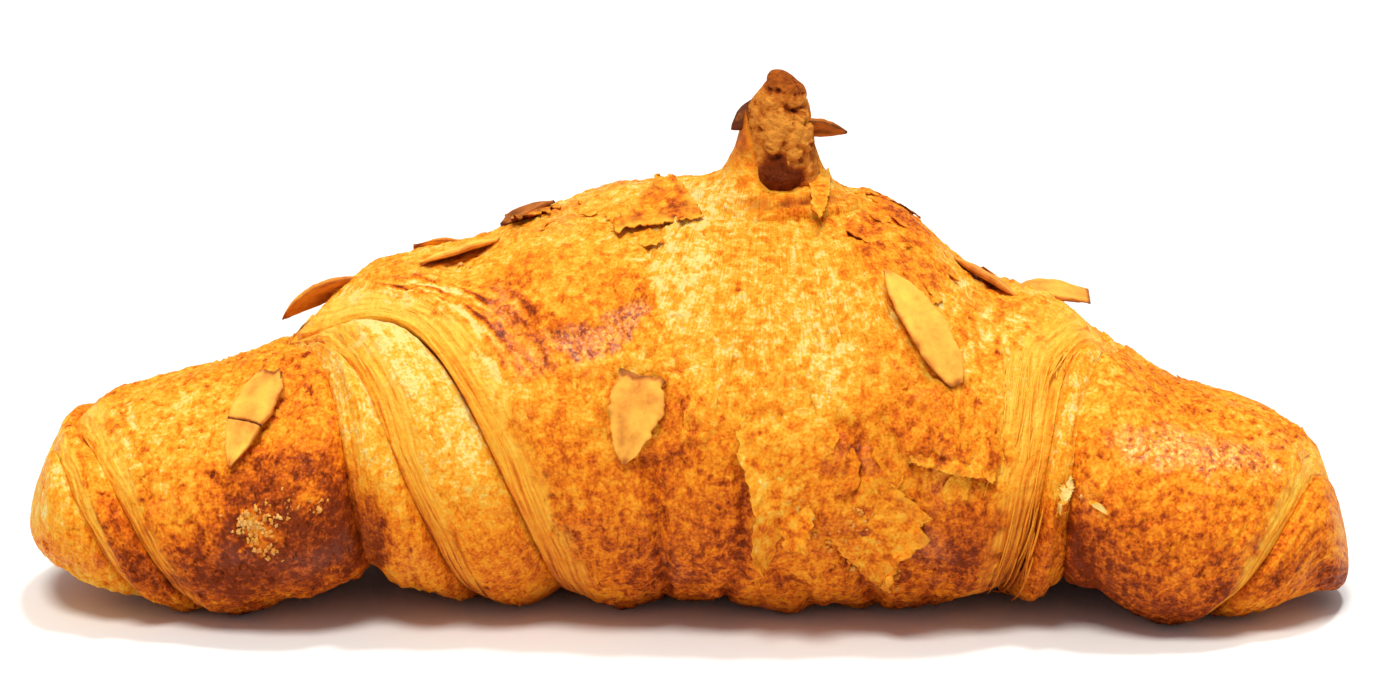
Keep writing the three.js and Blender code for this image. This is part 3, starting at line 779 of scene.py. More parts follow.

# Baked colour of each turn high and low on its front, the low one darker by browning and painted shade, how
# fine its relief is, how fibrous it is, whether the fibres follow its seam, the size in mm and strength of
# its brown spots, and whether it is pitted
TURNS = (
    dict(name="left_nub", columns=64, high=0.22, low=0.60,
         fine=0.8, fibrous=1.0, follow=1, spot=1.2, spotted=0.06),
    dict(name="left_ring", columns=56, high=0.42, low=0.85,
         fine=0.8, fibrous=0.9, follow=1, spot=1.2, spotted=0.08),
    dict(name="left_lump", columns=140, high=0.39, low=0.70,
         fine=1.0, fibrous=0.1, follow=0, spot=1.3, spotted=0.15, pitted=1),
    dict(name="left_wedge", columns=64, high=0.13, low=0.79,
         fine=0.8, fibrous=0.8, follow=1, spot=1.4, spotted=0.08),
    dict(name="left_lens", columns=120, high=0.08, low=0.86,
         fine=0.5, fibrous=0.35, follow=1, spot=1.6, spotted=0.05),
    dict(name="centre_turn", columns=336, high=0.29, low=0.87,
         fine=1.0, fibrous=0.12, follow=0, spot=1.4, spotted=0.20),
    dict(name="right_recess", columns=52, high=0.26, low=0.78,
         fine=0.7, fibrous=0.6, follow=1, spot=1.6, spotted=0.06),
    dict(name="right_lump", columns=180, high=0.44, low=1.14,
         fine=0.9, fibrous=0.08, follow=0, spot=1.2, spotted=0.22),
    dict(name="right_nub", columns=72, high=0.48, low=0.80,
         fine=0.7, fibrous=1.0, follow=1, spot=1.3, spotted=0.08),
)
EDGES = (None, *SEAMS, None)
CENTRE_TURN = next(turn for turn in TURNS if turn["name"] == "centre_turn")
FRONT_ROWS = 196
BACK_ROWS = 84
FRONT_FROM, FRONT_TO = -72.0, 116.0
BACK_TO = FRONT_FROM + 360
PATCH_MARGIN, CREASE_MARGIN = 60, 40
STEP_EDGE = 1.5
SHEET_SHARE = 0.25
STREAK_SHARE = 0.4
MM_PER_DEGREE = 0.5

# Bands round the roll, in degrees: where each rises and where it falls
SEEN_BAND = ((-88.0, -80.0), (112.0, 104.0))
FOOT_BAND = ((FRONT_FROM, -58.0), (-12.0, -36.0))
STREAKED_BAND = ((20.0, 50.0), (84.0, 68.0))
CROWN_BAND = ((40.0, 72.0), (140.0, 108.0))
RIDGE_BAND = ((55.0, 75.0), (140.0, 120.0))
BACK_BAND = ((118.0, 130.0), (BACK_TO, 270.0))
GRAIN_BAND = ((FRONT_FROM, FRONT_FROM + 6), (BACK_TO, BACK_TO - 6))

# Clouds in the skin: size in mm, octaves and seed; single noises have no octaves
SKIN_STEPS = (7.0, 4, 41)
SKIN_FRAY = (1.2, 47)
SKIN_BLISTERS = (1.9, 51)
SKIN_CREASES = (6.0, 3, 53)
SKIN_CREASED_PARTS = (8.0, 55)
SKIN_WRINKLES = (1.5, 2, 57)
SKIN_SWELLS = (14.0, 2, 61)
BROWNING = (11.0, 3, 71)
PITS = (1.5, 77)
SHINE = (7.0, 81)
BACK_TEARS = (13.0, 4, 85)

# Height of the skin's forms in mm
STEP_HEIGHT = 0.2
BLISTER_HEIGHT = 0.5
WRINKLE_HEIGHT = 0.16
SKIN_CREASE_DEPTH = 0.42
SWELL_HEIGHT = 0.45
FIBRE_HEIGHT = 0.3
FOLD_HEIGHT = 0.9
SPOT_HEIGHT = 0.1
PIT_DEPTH = 0.25
BACK_TEAR_HEIGHT = 0.4

# How much more, or less than 0, they are baked; the skin's creases are painted shade and the foot's paling
# is painted light
STEP_BAKE = 0.04
PAINTED_CREASE_SHADE = 0.16
BROWNING_BAKE = 0.10
FIBRE_BAKE = -0.22
FOLD_BAKE = -0.05
PIT_BAKE = 0.3
PAINTED_FOOT_LIGHT = -0.21
BACK_TEAR_BAKE = 0.16

# Sizes across and along the fibres, and how high they and the streaks stand, in mm
SKIN_FIBRES = (1.2, 9.0)
SLOW_FOLDS = (8.0, 30.0)
LIP_FIBRES, LIP_FIBRE_HEIGHT = (0.45, 10.0), 0.15
LIP_STREAKS, STREAK_HEIGHT = (1.5, 8.0), 0.3

# How much a lip's width changes, as a share, and how far the edges of its sheets sway and waver, in mm,
# each with the length over which it does
LIP_CHANGE, LIP_CHANGE_RUN = 0.3, 13.0
SHEET_SWAY, SHEET_SWAY_RUN = 0.7, 10.0
SHEET_WAVER, SHEET_WAVER_RUN = 0.16, 2.4

# The crust is browner, and painted darker as shade, from one angle down to the other, at the back as in
# front
LOW_FROM, LOW_TO = 30.0, -48.0
CROWN_ANGLE = 95.0

# How much closer a lip's columns are, and the share of the turn over which they are
LIP_CROWDING = 2.2
LIP_SHARE = 0.08

# A turn's edge is led under its neighbour, or in under its own lip, and then down, in mm
TUCK = 1.6
LIP_TUCK = 0.7
TUCK_DROPS = (1.4, 6.0)


def row_angles():
    """Angles round the roll, closer together over the front than over the back and base."""
    front = np.linspace(FRONT_FROM, FRONT_TO, FRONT_ROWS, endpoint=False)
    back = np.linspace(FRONT_TO, BACK_TO, BACK_ROWS, endpoint=False)
    return np.concatenate([front, back])


def lowness(angle):
    """0 high on the roll and 1 low down on its front and back; the colours it darkens are browner there and
    carry painted shade.
    """
    return smooth(LOW_FROM, LOW_TO, np.minimum(angle, 2 * CROWN_ANGLE - angle))


def lip_stairs(level, layers):
    """Height of a layered lip from 0 at its edge to 1 inside: level treads with steep risers."""
    tread = np.floor(level)
    return np.clip((tread + smooth(0.0, 0.35, level - tread)) / layers, 0, 1)


def turn_side(distance, seam, has_lip, p, angle, seed):
    """Dip, layer, groove and streaks beside one seam, for points at a distance inside a turn's edge.

    A pillow rounds down to the seam. A lip slopes down to it, with a few sheets whose edges run along the
    seam and wander slowly, and fine fibres between them.
    """
    over_top = between(angle, *CROWN_BAND)
    depth = seam["depth"] * (1 - (1 - seam.get("top", 1.0)) * over_top)
    if not has_lip:
        near = np.clip(1 - distance / seam["pillow"], 0, 1)
        plain = np.zeros_like(near)
        return depth * (1 - np.sqrt(1 - near ** 2)), plain, plain, plain
    run = MM_PER_DEGREE * angle
    along = stacked(run, 0.0, 5.0 * seed)
    width = seam["lip"] * (1 + LIP_CHANGE * noise(along, LIP_CHANGE_RUN, seed))
    share = np.clip(distance / width, 0, 1)
    sway = (distance + SHEET_SWAY * noise(along, SHEET_SWAY_RUN, seed + 11)
            + SHEET_WAVER * noise(along, SHEET_WAVER_RUN, seed + 12))
    level = np.clip(sway / width, 0, 1) * seam["layers"]
    fibres = drawn_cloud(sway, run, LIP_FIBRES, 3, seed + 31, seed)
    layer = seam.get("show", 1.0) * (1 - smooth(0.35, 1.0, share + 0.45 * cloud(p, 3.2, 3, seed + 21)))
    layer = layer * smooth(0.95, 0.72, share)
    foot = 1 - smooth(0.0, 0.3, level - np.floor(level))
    sheets = seam.get("sheets", SHEET_SHARE)
    fall = (1 - sheets) * (1 - share) ** 1.3 + sheets * (1 - lip_stairs(level, seam["layers"]))
    dip = depth * seam["edge"] * fall - LIP_FIBRE_HEIGHT * fibres * layer
    # Layer colour darker in the fibres, at each sheet's foot, as painted shade deep in the lip near the
    # seam, and low on the roll
    groove = 0.12 + 0.4 * fibres + 0.6 * sheets * foot + 0.25 * (1 - share) ** 2 + 0.5 * lowness(angle)
    beside = between(distance / width, (0.5, 1.0), (2.6, 1.3))
    streaks = beside * drawn_cloud(sway, run, LIP_STREAKS, 3, seed + 41, seed)
    browned = seam.get("streaks", STREAK_SHARE) * (0.06 + 0.94 * between(angle, *STREAKED_BAND))
    return dip - STREAK_HEIGHT * streaks, layer, groove, browned * streaks


def skin_relief(p, fine):
    """Broken skin, in mm: steps along the level lines of a cloud, creases, blisters and slow lumps."""
    field = cloud(p, *SKIN_STEPS) + 0.25 * noise(p, *SKIN_FRAY)
    step = smooth(-0.03, 0.03, field - 0.12) + smooth(-0.03, 0.03, field + 0.28)
    crease = smooth(0.08, 0.0, np.abs(cloud(p * [1.0, 1.0, 1.2], *SKIN_CREASES)))
    crease = crease * smooth(-0.3, 0.3, noise(p, *SKIN_CREASED_PARTS))
    blisters = np.maximum(noise(p, *SKIN_BLISTERS), 0) ** 2
    wrinkles = cloud(p, *SKIN_WRINKLES)
    broken = (STEP_HEIGHT * step + BLISTER_HEIGHT * blisters + WRINKLE_HEIGHT * wrinkles
              - SKIN_CREASE_DEPTH * crease)
    return fine * broken + SWELL_HEIGHT * cloud(p, *SKIN_SWELLS), step, crease


def photo_marks(p, angle):
    """Change of bake, gloss and height by the front's patches and creases, whose edges are ragged; in the
    creases it is painted shade.
    """
    front = between(angle, *SEEN_BAND)
    place = photo_place(p)
    shake = stacked(*(cloud(p, SHAKE_SIZE, 3, seed) for seed in (100, 140)))
    bake, gloss, height = (np.zeros_like(front) for _ in range(3))
    for outline, darkening, lift, more_gloss, soft, ragged in PATCHES.values():
        outline = np.asarray(outline, float)
        near = near_line(place, outline, PATCH_MARGIN) & (front > 0)
        distance = outline_distance(place[near] + ragged * shake[near], outline)
        inside = front[near] * smooth(soft, -soft, distance)
        bake[near] += darkening * inside
        gloss[near] += more_gloss * inside
        height[near] += lift * front[near] * smooth(STEP_EDGE, -STEP_EDGE, distance)
    for line, depth, half_width, darkening in CREASES.values():
        line = np.asarray(line, float)
        near = near_line(place, line, CREASE_MARGIN) & (front > 0)
        far = line_distance(place[near] + CREASE_RAGGED * shake[near], line)
        hollow = front[near] * np.exp(-(far / half_width) ** 2)
        # Painted shade in the creases, and painted light on the ridges
        bake[near] += darkening * hollow
        height[near] -= depth * hollow
    return bake, gloss, height


def turn_finish(turn, p, angle, across):
    """Bake, gloss, skin height and change of tone of the crust: high-to-low browning with painted shade,
    then what shows.

    Brown spots, fibres and slow folds cover every turn, its skin creases carry painted shade, its foot is
    paler by painted light and its back has torn skin; the patches and creases are laid over its front.
    """
    relief, step, crease = skin_relief(p, turn["fine"])
    low = lowness(angle)
    run = MM_PER_DEGREE * angle
    fibres = turn["fibrous"] * drawn_cloud(across, run, SKIN_FIBRES, 3, 91, level=3.0)
    folds = low * drawn_cloud(p[..., 0], run, SLOW_FOLDS, 2, 95, level=9.0)
    spots = smooth(-0.05, 0.4, cloud(p, turn["spot"], 3, 75)) - 0.35
    pits = turn.get("pitted", 0) * smooth(0.38, 0.6, noise(p * [1, 1, 1.7], *PITS))
    foot = between(angle, *FOOT_BAND)
    back = between(angle, *BACK_BAND)
    torn = smooth(-0.06, 0.06, cloud(p, *BACK_TEARS))
    tone, more_gloss, marks = photo_marks(p, angle)
    height = (relief + FIBRE_HEIGHT * fibres + FOLD_HEIGHT * folds + SPOT_HEIGHT * spots
              - PIT_DEPTH * pits + BACK_TEAR_HEIGHT * back * torn + marks)
    # Browning from high to low, with painted shade low down
    bake = turn["high"] + (turn["low"] - turn["high"]) * low + turn["spotted"] * spots
    # Painted shade in the skin's creases
    bake = bake + turn["fine"] * (STEP_BAKE * (step - 1) + PAINTED_CREASE_SHADE * crease)
    bake = bake + BROWNING_BAKE * cloud(p, *BROWNING) + FIBRE_BAKE * fibres + FOLD_BAKE * folds
    # Painted light on the foot, which makes it paler
    bake = bake + PIT_BAKE * pits + PAINTED_FOOT_LIGHT * foot + BACK_TEAR_BAKE * back * (torn - 0.5)
    gloss = 0.28 + 0.35 * noise(p, *SHINE) + more_gloss
    return bake + tone, np.clip(gloss, 0, 1), height, tone


def fan_grain(p, angle):
    """Grain below the peak, whose fibres fan out from a point above it.

    Its places across and along the fibres are in mm, and its share fades out round the fan.
    """
    way = (photo_place(p) - FAN_MIDDLE) / PIXELS_PER_MM
    far = np.linalg.norm(way, axis=-1)
    bearing = np.arctan2(way[..., 0], way[..., 1])
    share = smooth(FAN_REACH + 8.0, FAN_REACH - 12.0, far) * smooth(0.8, 0.45, np.abs(bearing))
    return FAN_REACH * bearing, far, share * smooth(*SEEN_BAND[1], angle)


def turn_grain(turn, p, angle, across, layer, from_seam):
    """Grain of a turn: its fibres run round the roll, along its lips, or fan out below the peak."""
    ends = between(angle, *GRAIN_BAND)
    across = np.where(layer > 0, from_seam, across)
    share = np.maximum(0.7 * turn["fibrous"], 0.6 * layer) * ends
    fan_across, fan_along, fanned = fan_grain(p, angle)
    fanned = fanned * (turn is CENTRE_TURN)
    fan = fanned > share
    return {"grain_across": np.where(fan, fan_across, across), "grain": np.maximum(share, fanned),
            "grain_along": np.where(fan, fan_along, MM_PER_DEGREE * angle)}


def turn_columns(turn, left_lip, right_lip):
    """Shares across a turn from one seam to the other, closer together in its lips."""
    share = np.linspace(0, 1, turn["columns"])
    in_lips = left_lip * np.exp(-share / LIP_SHARE) + right_lip * np.exp((share - 1) / LIP_SHARE)
    density = 1 + LIP_CROWDING * in_lips
    pace = np.concatenate([[0], np.cumsum(2 / (density[1:] + density[:-1]))])
    return pace / pace[-1]


def edge_place(seam, side, angles):
    """A turn's edge along the roll, in mm: a seam, or the roll's tip on that side."""
    return np.full_like(angles, side * HALF_LENGTH) if seam is None else seam_place(seam, angles)


def tucked_rings(seam, side, has_lip, x, angles):
    """Rings that lead a turn's edge down into the roll."""
    outward = side * (-LIP_TUCK if has_lip else TUCK)
    return np.stack([crust_point(x + outward, angles, 0, seam["depth"] + drop) for drop in TUCK_DROPS])


def add_turn(index):
    """One turn of the roll: a closed tube from seam to seam whose ends tuck in under its neighbours."""
    turn = TURNS[index]
    left, right = EDGES[index:index + 2]
    left_lip, right_lip = (seam is not None and seam["outward"] == side
                           for seam, side in ((left, -1), (right, 1)))
    angles = row_angles()
    shares = turn_columns(turn, left_lip, right_lip)
    if left is None:
        shares = 1 - np.cos(shares[1:] * np.pi / 2)
    if right is None:
        shares = np.sin(shares[:-1] * np.pi / 2)
    low, high = edge_place(left, -1, angles), edge_place(right, 1, angles)
    x = low + shares[:, None] * (high - low)
    angle = np.broadcast_to(angles, x.shape)
    base = crust_point(x, angle)
    dip, layer, groove, streaks, from_seam = (np.zeros_like(x) for _ in range(5))
    sides = ((left, left_lip, x - low, 200 + index), (right, right_lip, high - x, 300 + index))
    for seam, has_lip, distance, seed in sides:
        if seam is None:
            continue
        side_dip, side_layer, side_groove, more = turn_side(distance, seam, has_lip, base, angle, seed)
        dip = np.where(np.abs(side_dip) > np.abs(dip), side_dip, dip)
        streaks = streaks + more
        groove = np.where(side_layer > layer, side_groove, groove)
        from_seam = np.where(side_layer > layer, distance, from_seam)
        layer = np.maximum(layer, side_layer)
    across = x - turn["follow"] * low
    bake, gloss, height, tone = turn_finish(turn, base, angle, across)
    rings = [crust_point(x, angle, height * (1 - 0.8 * layer), dip)]
    first = last = None
    lead = tail = 0
    if left is None:
        first = crust_point(np.array(-HALF_LENGTH), np.array(0.0))
    else:
        lead = len(TUCK_DROPS)
        rings = [tucked_rings(left, -1, left_lip, x[0], angles)[::-1]] + rings
    if right is None:
        last = crust_point(np.array(HALF_LENGTH), np.array(0.0))
    else:
        tail = len(TUCK_DROPS)
        rings = rings + [tucked_rings(right, 1, right_lip, x[-1], angles)]
    finish = {"bake": bake + streaks, "gloss": gloss, "layer": layer, "groove": groove + tone}
    finish |= turn_grain(turn, base, angle, across, layer, from_seam)
    finish = {key: tube_values(values, lead, tail) for key, values in finish.items()}
    surface = closed_tube(np.concatenate(rings), first, last)
    add_piece(turn["name"], surface, CRUST, finish, ["croissant_roll"])


for turn_index in range(len(TURNS)):
    add_turn(turn_index)


# Almond slices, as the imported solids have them

ALMOND_THICKNESS = 1.2
ALMOND_END = 0.08
ALMOND_FULLNESS = 0.7
ALMOND_TAPER = 0.16
ALMOND_ROWS = 140
ALMOND_AROUND = 44
ALMOND_SQUARENESS = (0.55, 0.3)
ALMOND_RAGGED = 0.1
ALMOND_CRACK = 0.007

# A slice lies at a place along the roll in mm and an angle round it, turned on the crust and rolled about
# its length in degrees, or is held between two points. Kept is the share of the length that is left of a
# broken one, browned is how much more toasted its far end is, and widths are shares along it.
LYING_ALMONDS = (
    dict(name="left_horn", x=-57.5, angle=38, turn=48, length=18, width=6.4, lift=0.4, roll=0, bend=1.2,
         kept=0.85, toast=0.12, browned=0.16, crack=0.36,
         widths=(0.06, 0.5, 0.78, 0.96, 1.0, 0.92, 0.62)),
    dict(name="left_ridge", x=-31, angle=84, turn=4, length=11.5, width=6.5, lift=0.9, roll=-14, bend=0.3,
         kept=1, toast=0.02),
    dict(name="left_crown", x=-22, angle=102, turn=18, length=8.5, width=5.5, lift=0.7, roll=6, bend=0.4,
         kept=1, toast=0.6),
    dict(name="middle", x=-7, angle=15, turn=74, length=14, width=8.4, lift=0.4, roll=0, bend=0.7,
         kept=0.85, toast=0.16, ragged=0.24, browned=0.14,
         widths=(0.05, 0.4, 0.62, 0.72, 0.9, 0.8, 0.8)),
    dict(name="right", x=30.5, angle=38, turn=-46, length=18.4, width=6.6, lift=0.6, roll=0, bend=0.9,
         kept=1, toast=0.02, browned=0.22,
         widths=(0.1, 0.62, 0.9, 1.0, 0.98, 0.88, 0.4)),
    dict(name="right_ridge", x=40, angle=91, turn=-8, length=10.8, width=6, lift=0.9, roll=-8, bend=0.4,
         kept=1, toast=0.28),
    dict(name="back_left", x=-33, angle=141, turn=40, length=18, width=6.6, lift=0.5, roll=0, bend=1,
         kept=1, toast=0.2),
    dict(name="back_middle", x=4, angle=150, turn=-15, length=19, width=6.8, lift=0.5, roll=0, bend=0.6,
         kept=1, toast=0.16),
    dict(name="back_right", x=45, angle=154, turn=65, length=17, width=6.4, lift=0.5, roll=0, bend=1,
         kept=0.8, toast=0.24),
)
HELD_ALMONDS = (
    dict(name="left_shoulder", start=(-56, 0, 35.4), end=(-43.2, 0, 41.2), across=(0, 1, -0.7), width=6.6,
         bend=1.2, toast=0.1, browned=0.2),
    dict(name="right_shoulder", start=(44.6, 1.5, 39.4), end=(55.2, 1.5, 38.2), across=(0, 1, 0.1),
         width=6.6, bend=0.5, toast=0.25, widths=(0.2, 0.75, 0.95, 1.0, 0.98, 0.92, 0.8)),
    dict(name="peak_right", start=(12.8, -0.6, 63.1), end=(21.6, 0, 61.8), across=(0, 1, -0.8), width=4.4,
         bend=0, toast=0.45),
    dict(name="peak_left", start=(5.8, -0.8, 62.4), end=(12, 3, 66.4), across=(0.1, 0.5, 1), width=3.4,
         bend=0, toast=0.95),
)


def turned(v, axis, degrees):
    """A vector turned about a unit axis."""
    turn = math.radians(degrees)
    c, s = math.cos(turn), math.sin(turn)
    return v * c + np.cross(axis, v) * s + axis * (axis @ v) * (1 - c)


def lying_place(slice_):
    """Middle, length and width directions, length and kept share of a slice that lies on the crust."""
    steps_x, steps_angle = np.array([(-1, 0), (1, 0), (0, -1), (0, 1), (0, 0)]).T
    left, right, below, above, seat = solid_point(slice_["x"] + steps_x, slice_["angle"] + steps_angle)
    along = unit(right - left)
    out = unit(np.cross(along, above - below))
    turn = math.radians(slice_["turn"])
    length = along * math.cos(turn) + np.cross(out, along) * math.sin(turn)
    width = turned(np.cross(out, length), length, slice_["roll"])
    return seat + out * slice_["lift"], length, width, slice_["length"], slice_["kept"]


def held_place(slice_):
    """Middle, length and width directions, length and kept share of a slice held by one end."""
    shift = np.array([0, FRAME_SHIFT_Y, 0])
    start, end = np.array(slice_["start"]) + shift, np.array(slice_["end"]) + shift
    along = unit(end - start)
    across = np.array(slice_["across"], float)
    across = unit(across - along * (across @ along))
    return (start + end) / 2, along, across, np.linalg.norm(end - start), 1.0


def almond_widths(slice_, share, kept):
    """Width along a slice, as shares: its own, or a pointed oval that is fuller towards one end."""
    if "widths" in slice_:
        return np.interp(share / kept, np.linspace(0, 1, len(slice_["widths"])), slice_["widths"])
    oval = np.sin(np.pi * np.clip(share, 0, 1)) ** ALMOND_FULLNESS * (1 + ALMOND_TAPER * (0.5 - share))
    return np.maximum(oval, ALMOND_END)


def squared(value, power):
    """A sine or cosine pressed towards -1 and 1."""
    return np.sign(value) * np.abs(value) ** power


def add_almond(slice_, place, seed):
    """A slice: rounded-oblong sections along its length, pointed or broken at the ends, gently arched."""
    middle, along, across, length, kept = place
    out = unit(np.cross(along, across))
    share = (kept * (1 - np.cos(np.linspace(0, np.pi, ALMOND_ROWS))) / 2)[:, None]
    heading = headings(ALMOND_AROUND)
    side = squared(np.cos(heading), ALMOND_SQUARENESS[0])
    face = squared(np.sin(heading), ALMOND_SQUARENESS[1])
    spot = stacked(share * length, 3.0 * side, face) + 20 * seed
    ragged = slice_.get("ragged", ALMOND_RAGGED) * cloud(spot * [1, 0.15, 0], 2.4, 3, 5)
    half = slice_["width"] / 2 * almond_widths(slice_, share, kept) * (1 + ragged)
    broken = (kept < 1) * smooth(0.86, 1.0, share / kept) * 1.1 * noise(spot * [0, 1, 0], 1.1, 9)
    reach = (share - 0.5) * length + broken
    arch = slice_["bend"] * (1 - 4 * (share - 0.5) ** 2) + 0.22 * noise(spot, 4.0, 3)
    thin_ends = 0.35 + 0.65 * between(share, (0.0, 0.3), (1.0, 0.7))
    thick = ALMOND_THICKNESS / 2 * (0.9 - 0.25 * np.abs(side) ** 4) * thin_ends
    crack = np.zeros_like(half)
    if "crack" in slice_:
        from_crack = share - slice_["crack"] - 0.018 * side - 0.004 * noise(spot, 0.8, 13)
        crack = np.exp(-(from_crack / ALMOND_CRACK) ** 2)
    rise = arch + face * thick * (1 - 0.9 * crack * (face > 0)) + 0.05 * noise(spot, 0.9, 6)
    rings = middle + reach[..., None] * along + (half * side)[..., None] * across + rise[..., None] * out
    ends = smooth(0.1, 0.0, share) + smooth(0.94 * kept, kept, share)
    toast = slice_["toast"] + 0.3 * np.abs(side) ** 12 + 0.4 * np.clip(ends, 0, 1) + 0.9 * crack
    # Painted shade on the slice's underside
    toast = toast + slice_.get("browned", 0.0) * share + 0.2 * (face < -0.5) + 0.16 * (1 - side ** 2)
    toast = toast + 0.2 * cloud(spot * [1, 2, 1], 4.0, 3, 4)
    finish = {"toast": np.concatenate([toast.ravel(), [0.6, 0.6]])}
    name = "almond_slice_" + slice_["name"]
    add_piece("baked_" + name, closed_tube(rings), ALMOND, finish, [name])


for order, almond in enumerate(LYING_ALMONDS):
    add_almond(almond, lying_place(almond), order)
for order, almond in enumerate(HELD_ALMONDS):
    add_almond(almond, held_place(almond), order + len(LYING_ALMONDS))


# The peak: paste and its dough collar

PEAK_X = 12.3
PEAK_ANGLE = 92.0
COLLAR_HEIGHT = 11.3
COLLAR_THROAT = 3.9
COLLAR_SPREAD = 2.1
COLLAR_REACH = 13.0
COLLAR_RIM = 0.2
COLLAR_FLARE = 1.7
COLLAR_WALL = 0.75
COLLAR_TURNS_IN, COLLAR_TURNS_DOWN = 0.5, 7.0
COLLAR_SINKS, COLLAR_UNDERSIDE = 0.9, 2.5
COLLAR_FOLD, COLLAR_FOLDED = 0.9, ((4.8, 7.6), (13.4, 11.6))
COLLAR_HOLLOW, COLLAR_HOLLOW_HALF, COLLAR_HOLLOW_DEPTH = 9.4, 1.6, 0.3
COLLAR_BROWNS = (56.5, 61.0)
COLLAR_TEAR_HEADING = -75.0
COLLAR_TEAR_LEFT = 100.0
COLLAR_TEAR_RIGHT = 125.0
COLLAR_TEAR = 0.85
PASTE_FOOT_Z = 52.0
PASTE_TIP_Z = 70.6
PASTE_DOME_FROM = 0.84
PASTE_LEAST_RADIUS = 2.4
PASTE_PROFILE = (4.4, 5.3, 5.5, 5.0, 4.7, 4.4, 3.9, 2.9, 1.1)
PASTE_ROWS = 150
PASTE_AROUND = 150
COLLAR_ROWS = 90
COLLAR_AROUND = 180

# Axis of the paste: shares of its height, and how far it leans along the roll there
PASTE_LEAN = ((0, 0.5, 0.75, 0.88, 1), (0.3, 0.0, 0.0, 0.5, -0.35))
# Lumps on the front of the paste: place across and height in mm, and half size
PASTE_LUMPS = (
    (0.1, 65.2, 0.8), (3.2, 64.5, 0.9), (0.5, 63.8, 1.5), (2.2, 63.0, 1.2), (3.7, 62.6, 1.1),
    (-0.3, 62.2, 1.3), (1.7, 61.6, 1.4), (3.4, 60.9, 1.3), (-1.0, 60.8, 1.1), (2.0, 59.9, 1.0),
)
# Places across and up, and half sizes, of the slot, the dark pocket and a pale sliver in it, in mm
PASTE_SLOT, PASTE_SLOT_HALF = (2.1, 65.5), (1.4, 0.4)
PASTE_POCKET, PASTE_POCKET_HALF = (-0.5, 56.5), (3.9, 3.9)
PASTE_SLIVER, PASTE_SLIVER_HALF = (1.2, 59.2), (0.12, 0.8)
POCKET_SWELL, POCKET_SWELL_HALF = 1.6, (3.2, 2.6)
POCKET_SET_IN = 0.9
PASTE_CRACK_Z = 68.0

# Height of the paste's other forms in mm
LUMP_STANDS_OUT = 0.85
PASTE_ROUGHNESS = 0.28
PASTE_PIT_DEPTH = 0.4
PASTE_CRACK_DEPTH = 0.4
PASTE_SLIVER_HEIGHT = 0.15


def bump_at(across, z, middle, half):
    """A rounded bump: 1 in its middle, fading over its half sizes."""
    return np.exp(-((across - middle[0]) / half[0]) ** 2 - ((z - middle[1]) / half[1]) ** 2)


